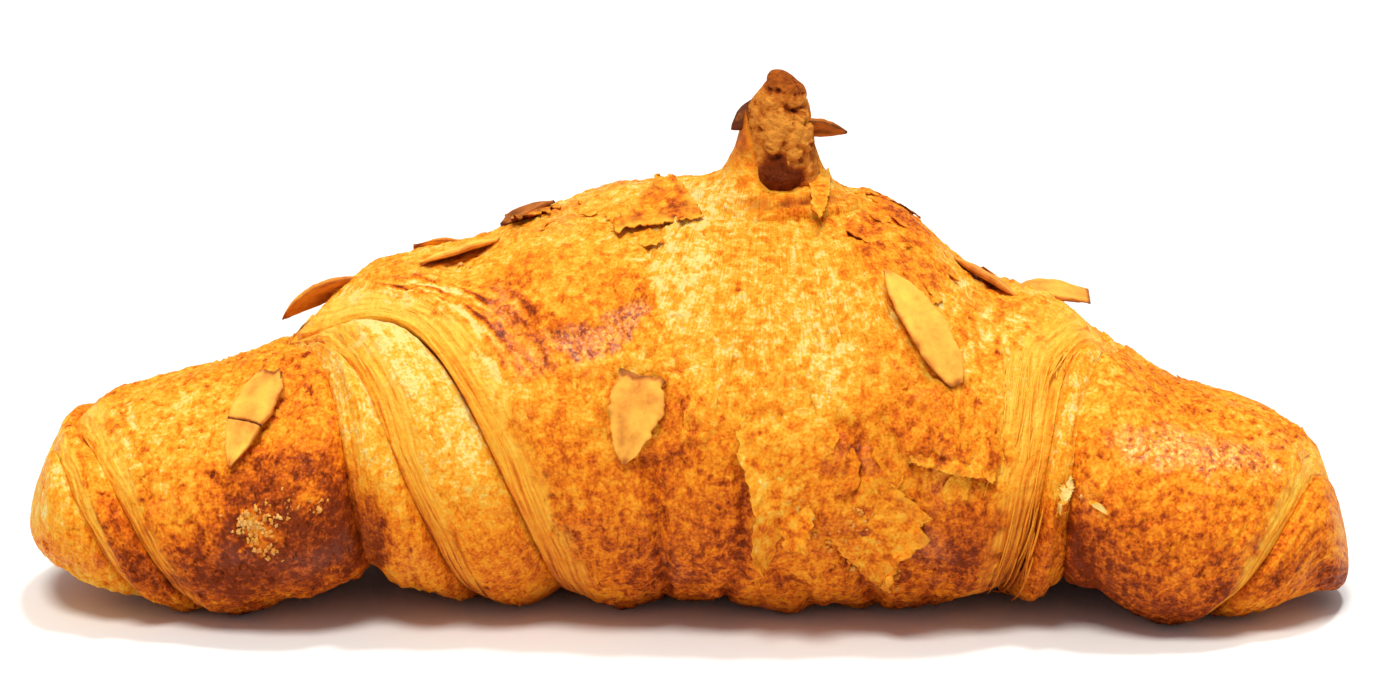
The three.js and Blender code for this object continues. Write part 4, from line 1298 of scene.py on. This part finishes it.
def add_paste():
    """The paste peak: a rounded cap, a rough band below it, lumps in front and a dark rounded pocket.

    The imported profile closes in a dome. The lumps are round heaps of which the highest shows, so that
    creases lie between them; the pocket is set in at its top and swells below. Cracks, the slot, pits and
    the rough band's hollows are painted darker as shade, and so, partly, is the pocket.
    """
    share = np.linspace(0, 0.99, PASTE_ROWS)[:, None]
    heading = headings(PASTE_AROUND)
    dome = np.sqrt(1 - np.clip((share - PASTE_DOME_FROM) / (1 - PASTE_DOME_FROM), 0, 1) ** 2)
    profile = curve_through(np.linspace(0, 1, len(PASTE_PROFILE)), PASTE_PROFILE, share)
    radius = dome * np.maximum(profile, PASTE_LEAST_RADIUS)
    foot_y = solid_point(np.array(PEAK_X), np.array(PEAK_ANGLE))[1]
    z = PASTE_FOOT_Z + (PASTE_TIP_Z - PASTE_FOOT_Z) * share + 0 * heading
    across = radius * np.cos(heading)
    ball = stacked(across, radius * np.sin(heading), z)
    front = smooth(0.0, 0.5, -np.sin(heading))
    wander = noise(ball, 2.2, 401)
    shaken, raised = across + 0.3 * wander, z + 0.3 * wander
    over_crack = z - PASTE_CRACK_Z + 0.5 * across / PASTE_PROFILE[6] + 0.7 * wander
    cap = smooth(-0.5, 0.9, over_crack)
    crack = front * np.exp(-(over_crack / 0.3) ** 2) * smooth(-0.3, 0.4, noise(ball, 2.6, 403))
    slot = front * bump_at(across, raised, PASTE_SLOT, PASTE_SLOT_HALF)
    heaps = [np.clip(1 - np.hypot(shaken - side, raised - up) ** 2 / half ** 2, 0, 1)
             for side, up, half in PASTE_LUMPS]
    lumps = front * np.sqrt(np.max(heaps, axis=0))
    pocket_half = PASTE_POCKET_HALF[0] * (1 - 0.4 * smooth(56.8, 60.2, z))
    from_pocket = np.hypot((across - PASTE_POCKET[0]) / pocket_half,
                           (z - PASTE_POCKET[1]) / PASTE_POCKET_HALF[1])
    pocket = front * smooth(1.15, 0.7, from_pocket + 0.26 * wander) * (1 - lumps)
    swell = pocket * (POCKET_SWELL * bump_at(across, z, PASTE_POCKET, POCKET_SWELL_HALF) - POCKET_SET_IN)
    sliver = front * bump_at(across, z, PASTE_SLIVER, PASTE_SLIVER_HALF)
    bare = (1 - 0.65 * cap) * (1 - 0.75 * pocket)
    rough = bare * (0.7 * cloud(ball, 3.4, 3, 405) + 0.6 * cloud(ball, 1.1, 2, 409))
    pits = bare * smooth(0.28, 0.55, noise(ball, 1.2, 411))
    radius = (radius + PASTE_ROUGHNESS * rough - PASTE_PIT_DEPTH * pits - PASTE_CRACK_DEPTH * crack - slot
              + LUMP_STANDS_OUT * lumps + swell + PASTE_SLIVER_HEIGHT * sliver)
    radius = np.maximum(radius, 0.3 * dome)
    x = PEAK_X + curve_through(*PASTE_LEAN, share) + radius * np.cos(heading)
    rings = stacked(x, foot_y + radius * np.sin(heading), z)
    tip = rings[-1].mean(axis=0) + [0, 0, 0.1]
    flank = smooth(-1.0, -4.0, across) * (0.24 * smooth(58.0, 63.0, z) - 0.14)
    # Painted shade in the cracks, the slot, the pits and the rough band's hollows, and partly in the pocket
    char_and_shade = (0.13 - 0.4 * rough + 0.34 * pits + 0.4 * crack + 0.5 * slot - 0.27 * lumps - 1.2 * sliver
            + pocket * (0.66 + 0.16 * rough) + 0.34 * cap + flank)
    finish = {"char_and_shade": np.concatenate([char_and_shade.ravel(), [0.5, 0.36]]),
              "gloss": np.concatenate([pocket.ravel(), [0, 0]])}
    add_piece("baked_paste_peak", closed_tube(rings, last=tip), PASTE, finish,
              ["almond_paste_peak"])


def collar_height(heading):
    """Height of the collar at its throat: torn down to little in front, rising slowly to either side."""
    past = (np.degrees(heading) - COLLAR_TEAR_HEADING + 180) % 360 - 180
    reach = np.where(past < 0, COLLAR_TEAR_LEFT, COLLAR_TEAR_RIGHT)
    return COLLAR_HEIGHT * (1 - COLLAR_TEAR * smooth(1.0, 0.25, np.abs(past) / reach))


def collar_lift(x, angle):
    """Height of the collar over the crust at places round the peak: it falls away from the throat."""
    side = (np.asarray(angle) - PEAK_ANGLE) / math.degrees(1 / CROWN_RADIUS)
    radius = np.hypot(x - PEAK_X, side)
    heading = np.arctan2(side, x - PEAK_X)
    return collar_height(heading) * np.exp(-np.maximum(radius - COLLAR_THROAT, 0) / COLLAR_SPREAD)


def carrier_point(x, angle, lift=0.0):
    """A point of the crust or, round the peak, of its collar."""
    return solid_point(x, angle, lift + collar_lift(x, angle))


def add_collar():
    """The dough collar: a flared wall that is highest round the paste, torn low in front, with a thin rim.

    The lift falls away exponentially outside the throat; inside it the wall turns down along the paste.
    In front the foot of the wall is a low fold with a hollow in it; round the throat and in the hollow the
    colour is painted shade.
    """
    heading = headings(COLLAR_AROUND)
    run = np.linspace(0, 1, COLLAR_ROWS)[:, None]
    inside = np.clip(1 - run / COLLAR_RIM, 0, 1)
    outside = np.clip((run - COLLAR_RIM) / (1 - COLLAR_RIM), 0, 1)
    away = (COLLAR_REACH - COLLAR_THROAT) * outside ** COLLAR_FLARE
    radius = COLLAR_THROAT + COLLAR_WALL - COLLAR_TURNS_IN * np.sin(inside * np.pi / 2) + away
    compass = stacked(np.cos(heading), np.sin(heading), 0)
    facing = np.clip(np.cos(heading - math.radians(COLLAR_TEAR_HEADING)), 0, 1)
    ragged = 0.7 * cloud(compass * 4.0, 2.2, 3, 420) * (1 - 0.8 * facing)
    lift = (collar_height(heading) + ragged) * np.exp(-away / COLLAR_SPREAD)
    lift = lift - COLLAR_TURNS_DOWN * inside ** 1.5 - COLLAR_SINKS * smooth(0.88, 1.0, run)
    x = PEAK_X + radius * np.cos(heading)
    angle = PEAK_ANGLE + radius * np.sin(heading) * math.degrees(1 / CROWN_RADIUS)
    base = crust_point(x, angle, lift)
    hollow = np.exp(-((radius - COLLAR_HOLLOW) / COLLAR_HOLLOW_HALF) ** 2)
    fold = COLLAR_FOLD * between(radius, *COLLAR_FOLDED) - COLLAR_HOLLOW_DEPTH * hollow
    bake, gloss, height, _ = turn_finish(CENTRE_TURN, base, angle, x)
    folds = 0.6 * cloud(base * [1, 1, 0.35], 3.4, 4, 430) * smooth(0.9, 0.5, run)
    top = crust_point(x, angle, lift + fold * facing + folds + height * smooth(0.5, 0.9, run))
    rings = np.concatenate([top, crust_point(x[-1:], angle[-1:], -COLLAR_UNDERSIDE)])
    rim_z = base[int(COLLAR_RIM * COLLAR_ROWS), :, 2]
    up = np.where(run < COLLAR_RIM, rim_z, base[..., 2])
    browned = smooth(*COLLAR_BROWNS, up + 1.6 * cloud(base, 4.0, 3, 440))
    from_throat = radius - COLLAR_THROAT
    # Painted shade in front: round the throat below the pocket and in the hollow the tan layer colour takes
    # over
    shaded = facing ** 2 * np.maximum(0.8 * smooth(1.6, 0.8, from_throat), hollow)
    browned = np.maximum(browned, shaded * smooth(-0.9, -0.1, cloud(base, 2.4, 2, 442)))
    # Painted shade, darker still next to the throat and in the hollow
    dark = (0.22 * smooth(1.5, 0.7, from_throat) + 0.08 * hollow) * facing ** 2
    tan = 0.75 + dark + 0.2 * cloud(base, 2.4, 3, 441)
    finish = {"bake": bake, "gloss": 0.6 * gloss, "layer": browned, "groove": tan}
    finish |= turn_grain(CENTRE_TURN, base, angle, x, 0 * bake, x)
    finish["grain"] *= smooth(0.45, 0.7, run)
    finish = {key: tube_values(values, tail=1) for key, values in finish.items()}
    add_piece("dough_collar", closed_tube(rings), CRUST, finish, ["croissant_roll"])


add_paste()
add_collar()


# Torn flakes, fibres and crumbs

# Left and right edges from the root to the loose end: in photograph pixels, or as places along the roll
# in mm and angles round it for the ones at the back. Lift and curl of the loose end are in mm, jag is how
# far its end is bitten, ragged is in the edges' own units, and loose is how freely the left and right
# edges lift. A flake whose rooted is 0 is torn all round.
PHOTO_FLAKES = (
    dict(name="long_flap", left=[(734, 418), (741, 466), (753, 498), (753, 555), (764, 562)],
         right=[(832, 418), (828, 466), (816, 500), (808, 532), (784, 530), (768, 562)],
         lift=2.2, curl=1.0, jag=0.05, ragged=5, bake=0.34, loose=(1, 0.3)),
    dict(name="orange_chip", left=[(786, 497), (780, 520), (784, 546)],
         right=[(806, 496), (814, 514), (804, 540)],
         lift=3.0, curl=0.8, jag=0.1, ragged=4, bake=0.48, loose=(0.6, 1)),
    dict(name="pale_shard", left=[(1087, 501), (1094, 507), (1107, 513)],
         right=[(1091, 499), (1101, 503), (1109, 512)],
         lift=0.9, curl=0.2, jag=0.05, ragged=2, bake=0.02),
    dict(name="fibre_flap", left=[(1056, 468), (1060, 490), (1056, 514)],
         right=[(1070, 470), (1074, 486), (1068, 498)],
         lift=1.2, curl=0.4, jag=0.2, ragged=3, bake=0.05),
    dict(name="jagged_flap", left=[(822, 495), (832, 530), (838, 549), (862, 572), (876, 584)],
         right=[(888, 480), (921, 508), (931, 516), (919, 542), (903, 552), (882, 584)],
         lift=2.3, curl=1.0, jag=0.2, ragged=12, bake=0.44, loose=(0.3, 1)),
    dict(name="crown_flake", left=[(611, 234), (618, 222), (640, 206), (660, 193)],
         right=[(704, 219), (696, 208), (684, 199), (670, 191)],
         lift=1.2, curl=0.3, jag=0.04, ragged=4, bake=0.52, loose=(1.5, 1.4), rooted=0),
    dict(name="narrow_flap", left=[(808, 183), (811, 205), (812, 220), (818, 231)],
         right=[(828, 171), (831, 188), (828, 212), (821, 231)],
         lift=0.4, curl=0.2, jag=0.08, ragged=3, bake=0.36, loose=(2.4, 2.4)),
    dict(name="hooded_flap", left=[(833, 204), (846, 230), (872, 244), (908, 251)],
         right=[(836, 198), (869, 213), (890, 228), (913, 250)],
         lift=0.25, curl=0.2, jag=0.1, ragged=4, bake=0.50, loose=(0.2, 1)),
    dict(name="right_skin_edge", left=[(908, 425), (906, 444), (911, 463)],
         right=[(1000, 428), (1000, 458), (993, 482)],
         lift=1.3, curl=0.3, jag=0.14, ragged=5, bake=0.56),
    dict(name="left_crown_scale", left=[(560, 196), (530, 206), (506, 222)],
         right=[(566, 206), (540, 218), (512, 232)],
         lift=1.1, curl=0.5, jag=0.14, ragged=4, bake=0.66),
    dict(name="right_crown_scale", left=[(850, 193), (872, 196), (896, 204)],
         right=[(858, 186), (884, 190), (918, 220)],
         lift=0.3, curl=0.1, jag=0.12, ragged=4, bake=0.58),
    dict(name="smooth_flap_end", left=[(697, 392), (684, 412), (682, 438)],
         right=[(719, 384), (719, 420), (705, 442)],
         lift=0.6, curl=0.2, jag=0.06, ragged=3, bake=0.34, loose=(0.8, 0.4)),
)
BACK_FLAKES = (
    dict(name="back_long_flap", left=[(-16, 152), (-14, 170), (-12, 184)],
         right=[(-4, 150), (-3, 168), (-7, 186)],
         lift=1.2, curl=0.5, jag=0.14, ragged=0.8, bake=0.3),
    dict(name="back_jagged_flap", left=[(17, 158), (19, 172), (23, 188)],
         right=[(31, 156), (31, 174), (26, 189)],
         lift=1.2, curl=0.7, jag=0.2, ragged=1.0, bake=0.4),
    dict(name="back_horn_flake", left=[(-69, 150), (-68, 160), (-66, 168)],
         right=[(-60, 149), (-60, 160), (-62, 170)],
         lift=1.0, curl=0.4, jag=0.12, ragged=0.6, bake=0.52),
)
FLAKE_ROWS = 64
FLAKE_COLUMNS = 64
FLAKE_SEAT = 0.65
FLAKE_SUNK = 0.3
FLAKE_THICKNESS = 0.5
FLAKE_ROOT = 0.9
FLAKE_BUCKLE = 0.42
# Painted shade on a flake's underside
FLAKE_UNDERSIDE_SHADE = 0.25


def edge_run(line, share):
    """Points at shares of the length of a broken line."""
    line = np.asarray(line, float)
    lengths = np.linalg.norm(np.diff(line, axis=0), axis=1)
    at = np.concatenate([[0], np.cumsum(lengths)]) / lengths.sum()
    return np.stack([np.interp(share, at, line[:, k]) for k in (0, 1)], axis=-1)


def add_flake(flake, from_photo, seed):
    """A torn flake: a thin shell between two edges, rooted in the crust, that lifts to a ragged end, with
    painted highlights on its loose edges and painted shade on its underside.
    """
    down = np.linspace(0, 1, FLAKE_ROWS)[:, None]
    over = np.linspace(0, 1, FLAKE_COLUMNS)
    rooted = flake.get("rooted", 1)
    shown = down * (1 - flake["jag"] * np.abs(cloud(stacked(8 * over, 3 * seed, 0), 1.6, 3, 500)))
    left, right = edge_run(flake["left"], shown), edge_run(flake["right"], shown)
    from_middle = np.abs(2 * over - 1)
    edge = np.maximum(from_middle ** 5, np.maximum(down ** 8, (1 - rooted) * (1 - down) ** 8))
    broad = smooth(0.0, 2.5 * flake["ragged"], np.linalg.norm(right - left, axis=-1))
    torn = broad * edge * cloud(stacked(10 * shown, 3 * over, seed), 1.0, 3, 510)
    hem = (1 - rooted) * (1 - down) ** 6 * cloud(stacked(9 * over, 3 * seed, 5.0), 1.0, 3, 515)
    place = left + over[:, None] * (right - left) + flake["ragged"] * stacked(torn, 0.4 * torn + hem)
    x, angle = crust_under(place) if from_photo else np.moveaxis(place, -1, 0)
    sheet = carrier_point(x, angle)
    left_loose, right_loose = flake.get("loose", (1, 1))
    loose = left_loose + (right_loose - left_loose) * over
    lift = loose * (FLAKE_SEAT + flake["lift"] * shown ** 1.5 + flake["curl"] * from_middle ** 3 * shown)
    lift = lift - FLAKE_SUNK - FLAKE_ROOT * rooted * smooth(0.14, 0.0, down)
    lift = lift + FLAKE_BUCKLE * cloud(sheet, 2.6, 3, 520)
    thick = FLAKE_THICKNESS * (1 - 0.5 * edge)
    surface = shell(carrier_point(x, angle, lift), carrier_point(x, angle, lift - thick))
    # Painted highlight along the loose edges, which take the pale layer colour
    rim = 0.85 * loose * edge * smooth(-0.5, 0.2, noise(sheet, 2.5, 540))
    bed = turn_finish(CENTRE_TURN, sheet, angle, x)[0]
    own = flake["bake"] + 0.36 * cloud(sheet, 2.0, 4, 530) + 0.04 * (1 - edge)
    bake = bed + (own - bed) * np.maximum(smooth(0.05, 0.4, down), 1 - rooted)
    groove = 0.26 + 0.3 * lowness(angle)
    # The underside is painted darker as shade
    finish = {"bake": [bake, bake + FLAKE_UNDERSIDE_SHADE], "gloss": 0.35, "layer": [rim, 0 * rim],
              "groove": [groove, groove]}
    add_piece("flake_" + flake["name"], surface, TORN_DOUGH, finish, ["croissant_roll"])


for order, torn_flake in enumerate(PHOTO_FLAKES):
    add_flake(torn_flake, True, order)
for order, torn_flake in enumerate(BACK_FLAKES):
    add_flake(torn_flake, False, order + len(PHOTO_FLAKES))

# Small scales of broken skin: middle and spread in photograph pixels and how many, then how many are at the
# back between which angles, their size and how far their edges lift in mm
SCALE_FIELDS = (
    ((560, 226), (50, 12), 8), ((664, 424), (36, 30), 8), ((866, 470), (32, 36), 12),
    ((930, 310), (36, 40), 5), ((960, 450), (28, 20), 5), ((884, 214), (32, 14), 5),
)
BACK_SCALES = 40
BACK_SCALE_ANGLES = (128, 215)
BACK_SCALE_REACH = 0.85
SCALE_SEED = 31
SCALE_ROWS = 9
SCALE_SIZE = (0.6, 2.4)
SCALE_SQUASH = (0.45, 0.9)
SCALE_RAGGED = 0.45
SCALE_SEAT = 0.3
SCALE_LIFT = (0.1, 0.5)
SCALE_THICKNESS = 0.3
SCALE_LEAST_BAKE = 0.32


def scattered(rng, fields):
    """Photograph places strewn about the middles of fields, each of a middle, a spread and a count."""
    return np.concatenate([rng.normal(middle, spread, (count, 2)) for middle, spread, count, *_ in fields])


def add_scales():
    """Scales of thin skin on the broken crust: ragged little shells, flat at one side, lifted at the other.

    Each is a ring of rays of uneven length, squashed and turned on the crust.
    """
    rng = np.random.default_rng(SCALE_SEED)
    seen_x, seen_angle = crust_under(scattered(rng, SCALE_FIELDS))
    spread = rng.uniform(-BACK_SCALE_REACH, BACK_SCALE_REACH, BACK_SCALES)
    x0 = np.concatenate([seen_x, spread * HALF_LENGTH])
    angle0 = np.concatenate([seen_angle, rng.uniform(*BACK_SCALE_ANGLES, BACK_SCALES)])
    bed = turn_finish(CENTRE_TURN, carrier_point(x0, angle0), angle0, x0)[0]
    bed = np.maximum(bed, SCALE_LEAST_BAKE + 0.4 * lowness(angle0))
    x0, angle0 = x0[:, None, None], angle0[:, None, None]
    shape = x0.shape
    size, squash = rng.uniform(*SCALE_SIZE, shape), rng.uniform(*SCALE_SQUASH, shape)
    turn, raised = rng.uniform(0, 2 * np.pi, shape), rng.uniform(0, 2 * np.pi, shape)
    around = headings(2 * SCALE_ROWS)
    out = np.linspace(0.05, 1, SCALE_ROWS)[:, None]
    tears = stacked(3 * np.cos(around) + 9 * x0, 3 * np.sin(around) + angle0, x0)
    reach = size * out * (1 + SCALE_RAGGED * cloud(tears, 1.5, 3, 700))
    across, down = reach * np.cos(around), squash * reach * np.sin(around)
    limit = 0.97 * HALF_LENGTH
    x = np.clip(x0 + across * np.cos(turn) - down * np.sin(turn), -limit, limit)
    angle = angle0 + (across * np.sin(turn) + down * np.cos(turn)) / MM_PER_DEGREE
    tilt = np.clip(np.cos(around - raised), -0.4, 1) * out ** 2
    lift = SCALE_SEAT + rng.uniform(*SCALE_LIFT, shape) * tilt
    top = carrier_point(x, angle, lift)
    under = carrier_point(x, angle, lift - SCALE_THICKNESS + 0.22 * out ** 4)
    surface, each = joined(np.concatenate([top, under[:, ::-1]], axis=1))
    bake = np.repeat(bed + rng.uniform(-0.06, 0.1, len(bed)), each)
    add_piece("skin_scales", surface, TORN_DOUGH,
              {"bake": bake, "gloss": 0.4, "layer": 0.0, "groove": 0.0})


add_scales()

# Fibres drawn out of the lips: seam number, how many, the angles at which they start, how far across the
# lip they lie, and how far their ends may stand off in mm
FIBRE_BUNCHES = (
    (3, 12, (-45, 200), (0.05, 0.85), 1.0),
    (4, 22, (-45, 200), (0.05, 0.85), 1.0),
    (5, 110, (-12, 200), (0.05, 0.85), 0.8),
    (5, 10, (-16, 4), (-0.06, 0.1), 1.1),
    (7, 6, (-45, 200), (0.05, 0.85), 1.0),
)
FIBRE_ROWS = 26
FIBRE_AROUND = 6
FIBRE_SEED = 17
FIBRE_RADIUS = (0.07, 0.17)
FIBRE_TURNS = (10, 30)
FIBRE_DRIFT = (-0.8, 0.8)
FIBRE_RAISED = (0.3, 0.65)
FIBRE_LOOSENESS = (-1.4, 1.0)


def add_fibres():
    """Thin strands of dough along the lips, half sunk in them, some with a loose end.

    Every strand is a tapered tube that keeps its distance from the seam while it runs round the roll.
    """
    rng = np.random.default_rng(FIBRE_SEED)
    t = np.linspace(0, 1, FIBRE_ROWS)
    centres, radii, low = [], [], []
    for number, count, begin, over_lip, stand_off in FIBRE_BUNCHES:
        seam = SEAMS[number]
        each = (count, 1)
        angle = rng.uniform(*begin, each) - rng.uniform(*FIBRE_TURNS, each) * t
        distance = rng.uniform(*over_lip, each) * seam["lip"] + rng.uniform(*FIBRE_DRIFT, each) * t ** 2
        in_lip = np.clip(1 - np.abs(distance) / seam["lip"], 0, 1)
        lift = rng.uniform(*FIBRE_RAISED, each) * seam["depth"] * in_lip
        loose = np.maximum(rng.uniform(*FIBRE_LOOSENESS, each), 0) * stand_off
        at_top = between(angle, *RIDGE_BAND)
        x = seam_place(seam, angle) - seam["outward"] * distance
        centres.append(solid_point(x, angle, (1 - at_top) * (lift + loose * t ** 3)))
        radii.append(rng.uniform(*FIBRE_RADIUS, each) * np.sqrt(np.clip(1 - (2 * t - 1) ** 4, 0.02, 1)))
        low.append(lowness(angle))
    centre, radius = np.concatenate(centres), np.concatenate(radii)
    run = unit(np.gradient(centre, axis=1))
    side = unit(np.cross(run, [1.0, 0, 0]))
    heading = headings(FIBRE_AROUND)[:, None]
    ring = np.cos(heading) * side[:, :, None] + np.sin(heading) * np.cross(run, side)[:, :, None]
    rings = centre[:, :, None] + radius[:, :, None, None] * ring
    surface, _ = joined(rings)
    groove = np.repeat(np.concatenate(low), FIBRE_AROUND, axis=1)
    groove = np.concatenate([groove, groove[:, :1], groove[:, -1:]], axis=1)
    groove = 0.7 * groove + rng.uniform(0.1, 0.35, (len(rings), 1))
    finish = {"bake": 0.3, "gloss": 0.3, "layer": 1.0, "groove": groove}
    add_piece("torn_fibres", surface, TORN_DOUGH, finish, ["croissant_roll"])


# Crumbs: middle in photograph pixels, spread in pixels, how many, and how yellow
CRUMB_HEAPS = (
    ((256, 526), (9, 8), 120, 0.6),
    ((266, 550), (7, 5), 16, 0.7),
    ((300, 500), (13, 9), 40, 0.75),
    ((465, 266), (6, 3), 4, 0.6),
    ((880, 545), (26, 22), 26, 0.8),
    ((850, 520), (12, 12), 12, 0.75),
    ((790, 515), (20, 16), 16, 0.8),
    ((1096, 506), (9, 6), 3, 0.4),
)
CRUMB_RINGS = 7
CRUMB_AROUND = 9
CRUMB_SEED = 23
CRUMB_SIZE = (0.12, 0.4)
CRUMB_SQUASH = (0.6, 1.3)
CRUMB_SEAT = 0.36
CRUMB_RAGGED = 0.9
CRUMB_CAP = 0.12


def add_crumbs():
    """Crumbs of torn skin: small lumps half sunk in the crust, each of its own size and squash."""
    rng = np.random.default_rng(CRUMB_SEED)
    spots = scattered(rng, CRUMB_HEAPS)
    yellow = np.concatenate([np.full(count, share) for _, _, count, share in CRUMB_HEAPS])
    yellow = yellow + rng.uniform(-0.2, 0.15, len(yellow))
    size = rng.uniform(*CRUMB_SIZE, (len(spots), 1, 1, 1))
    size = size * rng.uniform(*CRUMB_SQUASH, (len(spots), 1, 1, 3))
    seat = solid_point(*crust_under(spots), CRUMB_SEAT)[:, None, None, :]
    tilt = np.linspace(CRUMB_CAP, np.pi - CRUMB_CAP, CRUMB_RINGS)[:, None]
    heading = headings(CRUMB_AROUND)
    ball = stacked(np.sin(tilt) * np.cos(heading), np.sin(tilt) * np.sin(heading), np.cos(tilt))
    apart = 7 * np.arange(len(spots))[:, None, None, None]
    rough = 1 + CRUMB_RAGGED * noise(ball + apart, 0.8, 600)
    surface, each = joined(seat + size * ball * rough[..., None])
    add_piece("loose_crumbs", surface, TORN_DOUGH,
              {"bake": 0.0, "gloss": 0.2, "layer": np.repeat(yellow, each), "groove": 0.6})


add_fibres()
add_crumbs()


# Stage, light and camera

FLOOR_REACH = 4.0
FLOOR_COLOUR = (0.86, 0.91, 0.99, 1)
SKY_COLOUR = (1, 0.95, 0.87, 1)
SKY_STRENGTH = 0.36

# Direction towards each light, the angle over which it spreads, in degrees, its strength and colour
SUNS = {
    "key": ((-0.15, -0.45, 1), 18, 2.3, (1, 0.93, 0.8)),
    "top": ((0.3, 0.3, 1), 70, 0.3, (1, 0.94, 0.84)),
    "glint": ((0.15, 0.1, 1), 7, 1.5, (1, 0.95, 0.86)),
}


def add_stage():
    """A pale floor that fades into a pale world."""
    floor = bpy.data.meshes.new("floor")
    corners = [(-1, -1, 0), (1, -1, 0), (1, 1, 0), (-1, 1, 0)]
    floor.from_pydata([FLOOR_REACH * np.array(corner) for corner in corners], [], [(0, 1, 2, 3)])
    material, tree, shader = new_material("pale_floor")
    plug(tree, shader, {"Base Color": FLOOR_COLOUR, "Roughness": 0.9})
    floor.materials.append(material)
    add_object("floor", floor)
    world = bpy.data.worlds.new("pale_world")
    world.use_nodes = True
    sky = world.node_tree.nodes["Background"]
    plug(world.node_tree, sky, {"Color": SKY_COLOUR, "Strength": SKY_STRENGTH})
    bpy.context.scene.world = world


def add_sun(name, way, spread, strength, colour):
    """Wide, even light that comes from a direction and spreads over an angle."""
    lamp = bpy.data.lights.new(name, "SUN")
    lamp.angle = math.radians(spread)
    lamp.energy = strength
    lamp.color = colour
    x, y, z = way
    tilt = math.atan2(math.hypot(x, y), z)
    add_object(name, lamp).rotation_euler = (tilt, 0, math.atan2(y, x) + math.pi / 2)


def add_camera():
    """The photograph's camera: in front, a little above, looking along +Y."""
    lens = bpy.data.cameras.new("photo_camera")
    lens.sensor_width = SENSOR_WIDTH
    lens.lens = SENSOR_WIDTH * PIXELS_PER_MM * CAMERA_DISTANCE / PHOTO_SIZE[0]
    lens.clip_end = CAMERA_SIGHT
    camera = add_object("photo_camera", lens)
    back = np.array([0, -math.cos(CAMERA_ELEVATION), math.sin(CAMERA_ELEVATION)])
    camera.location = (CAMERA_TARGET + CAMERA_DISTANCE * back) * MM
    camera.rotation_euler = (math.pi / 2 - CAMERA_ELEVATION, 0, 0)
    bpy.context.scene.camera = camera


add_stage()
for sun, light in SUNS.items():
    add_sun(sun, *light)
add_camera()
bpy.context.scene.view_settings.view_transform = "Standard"
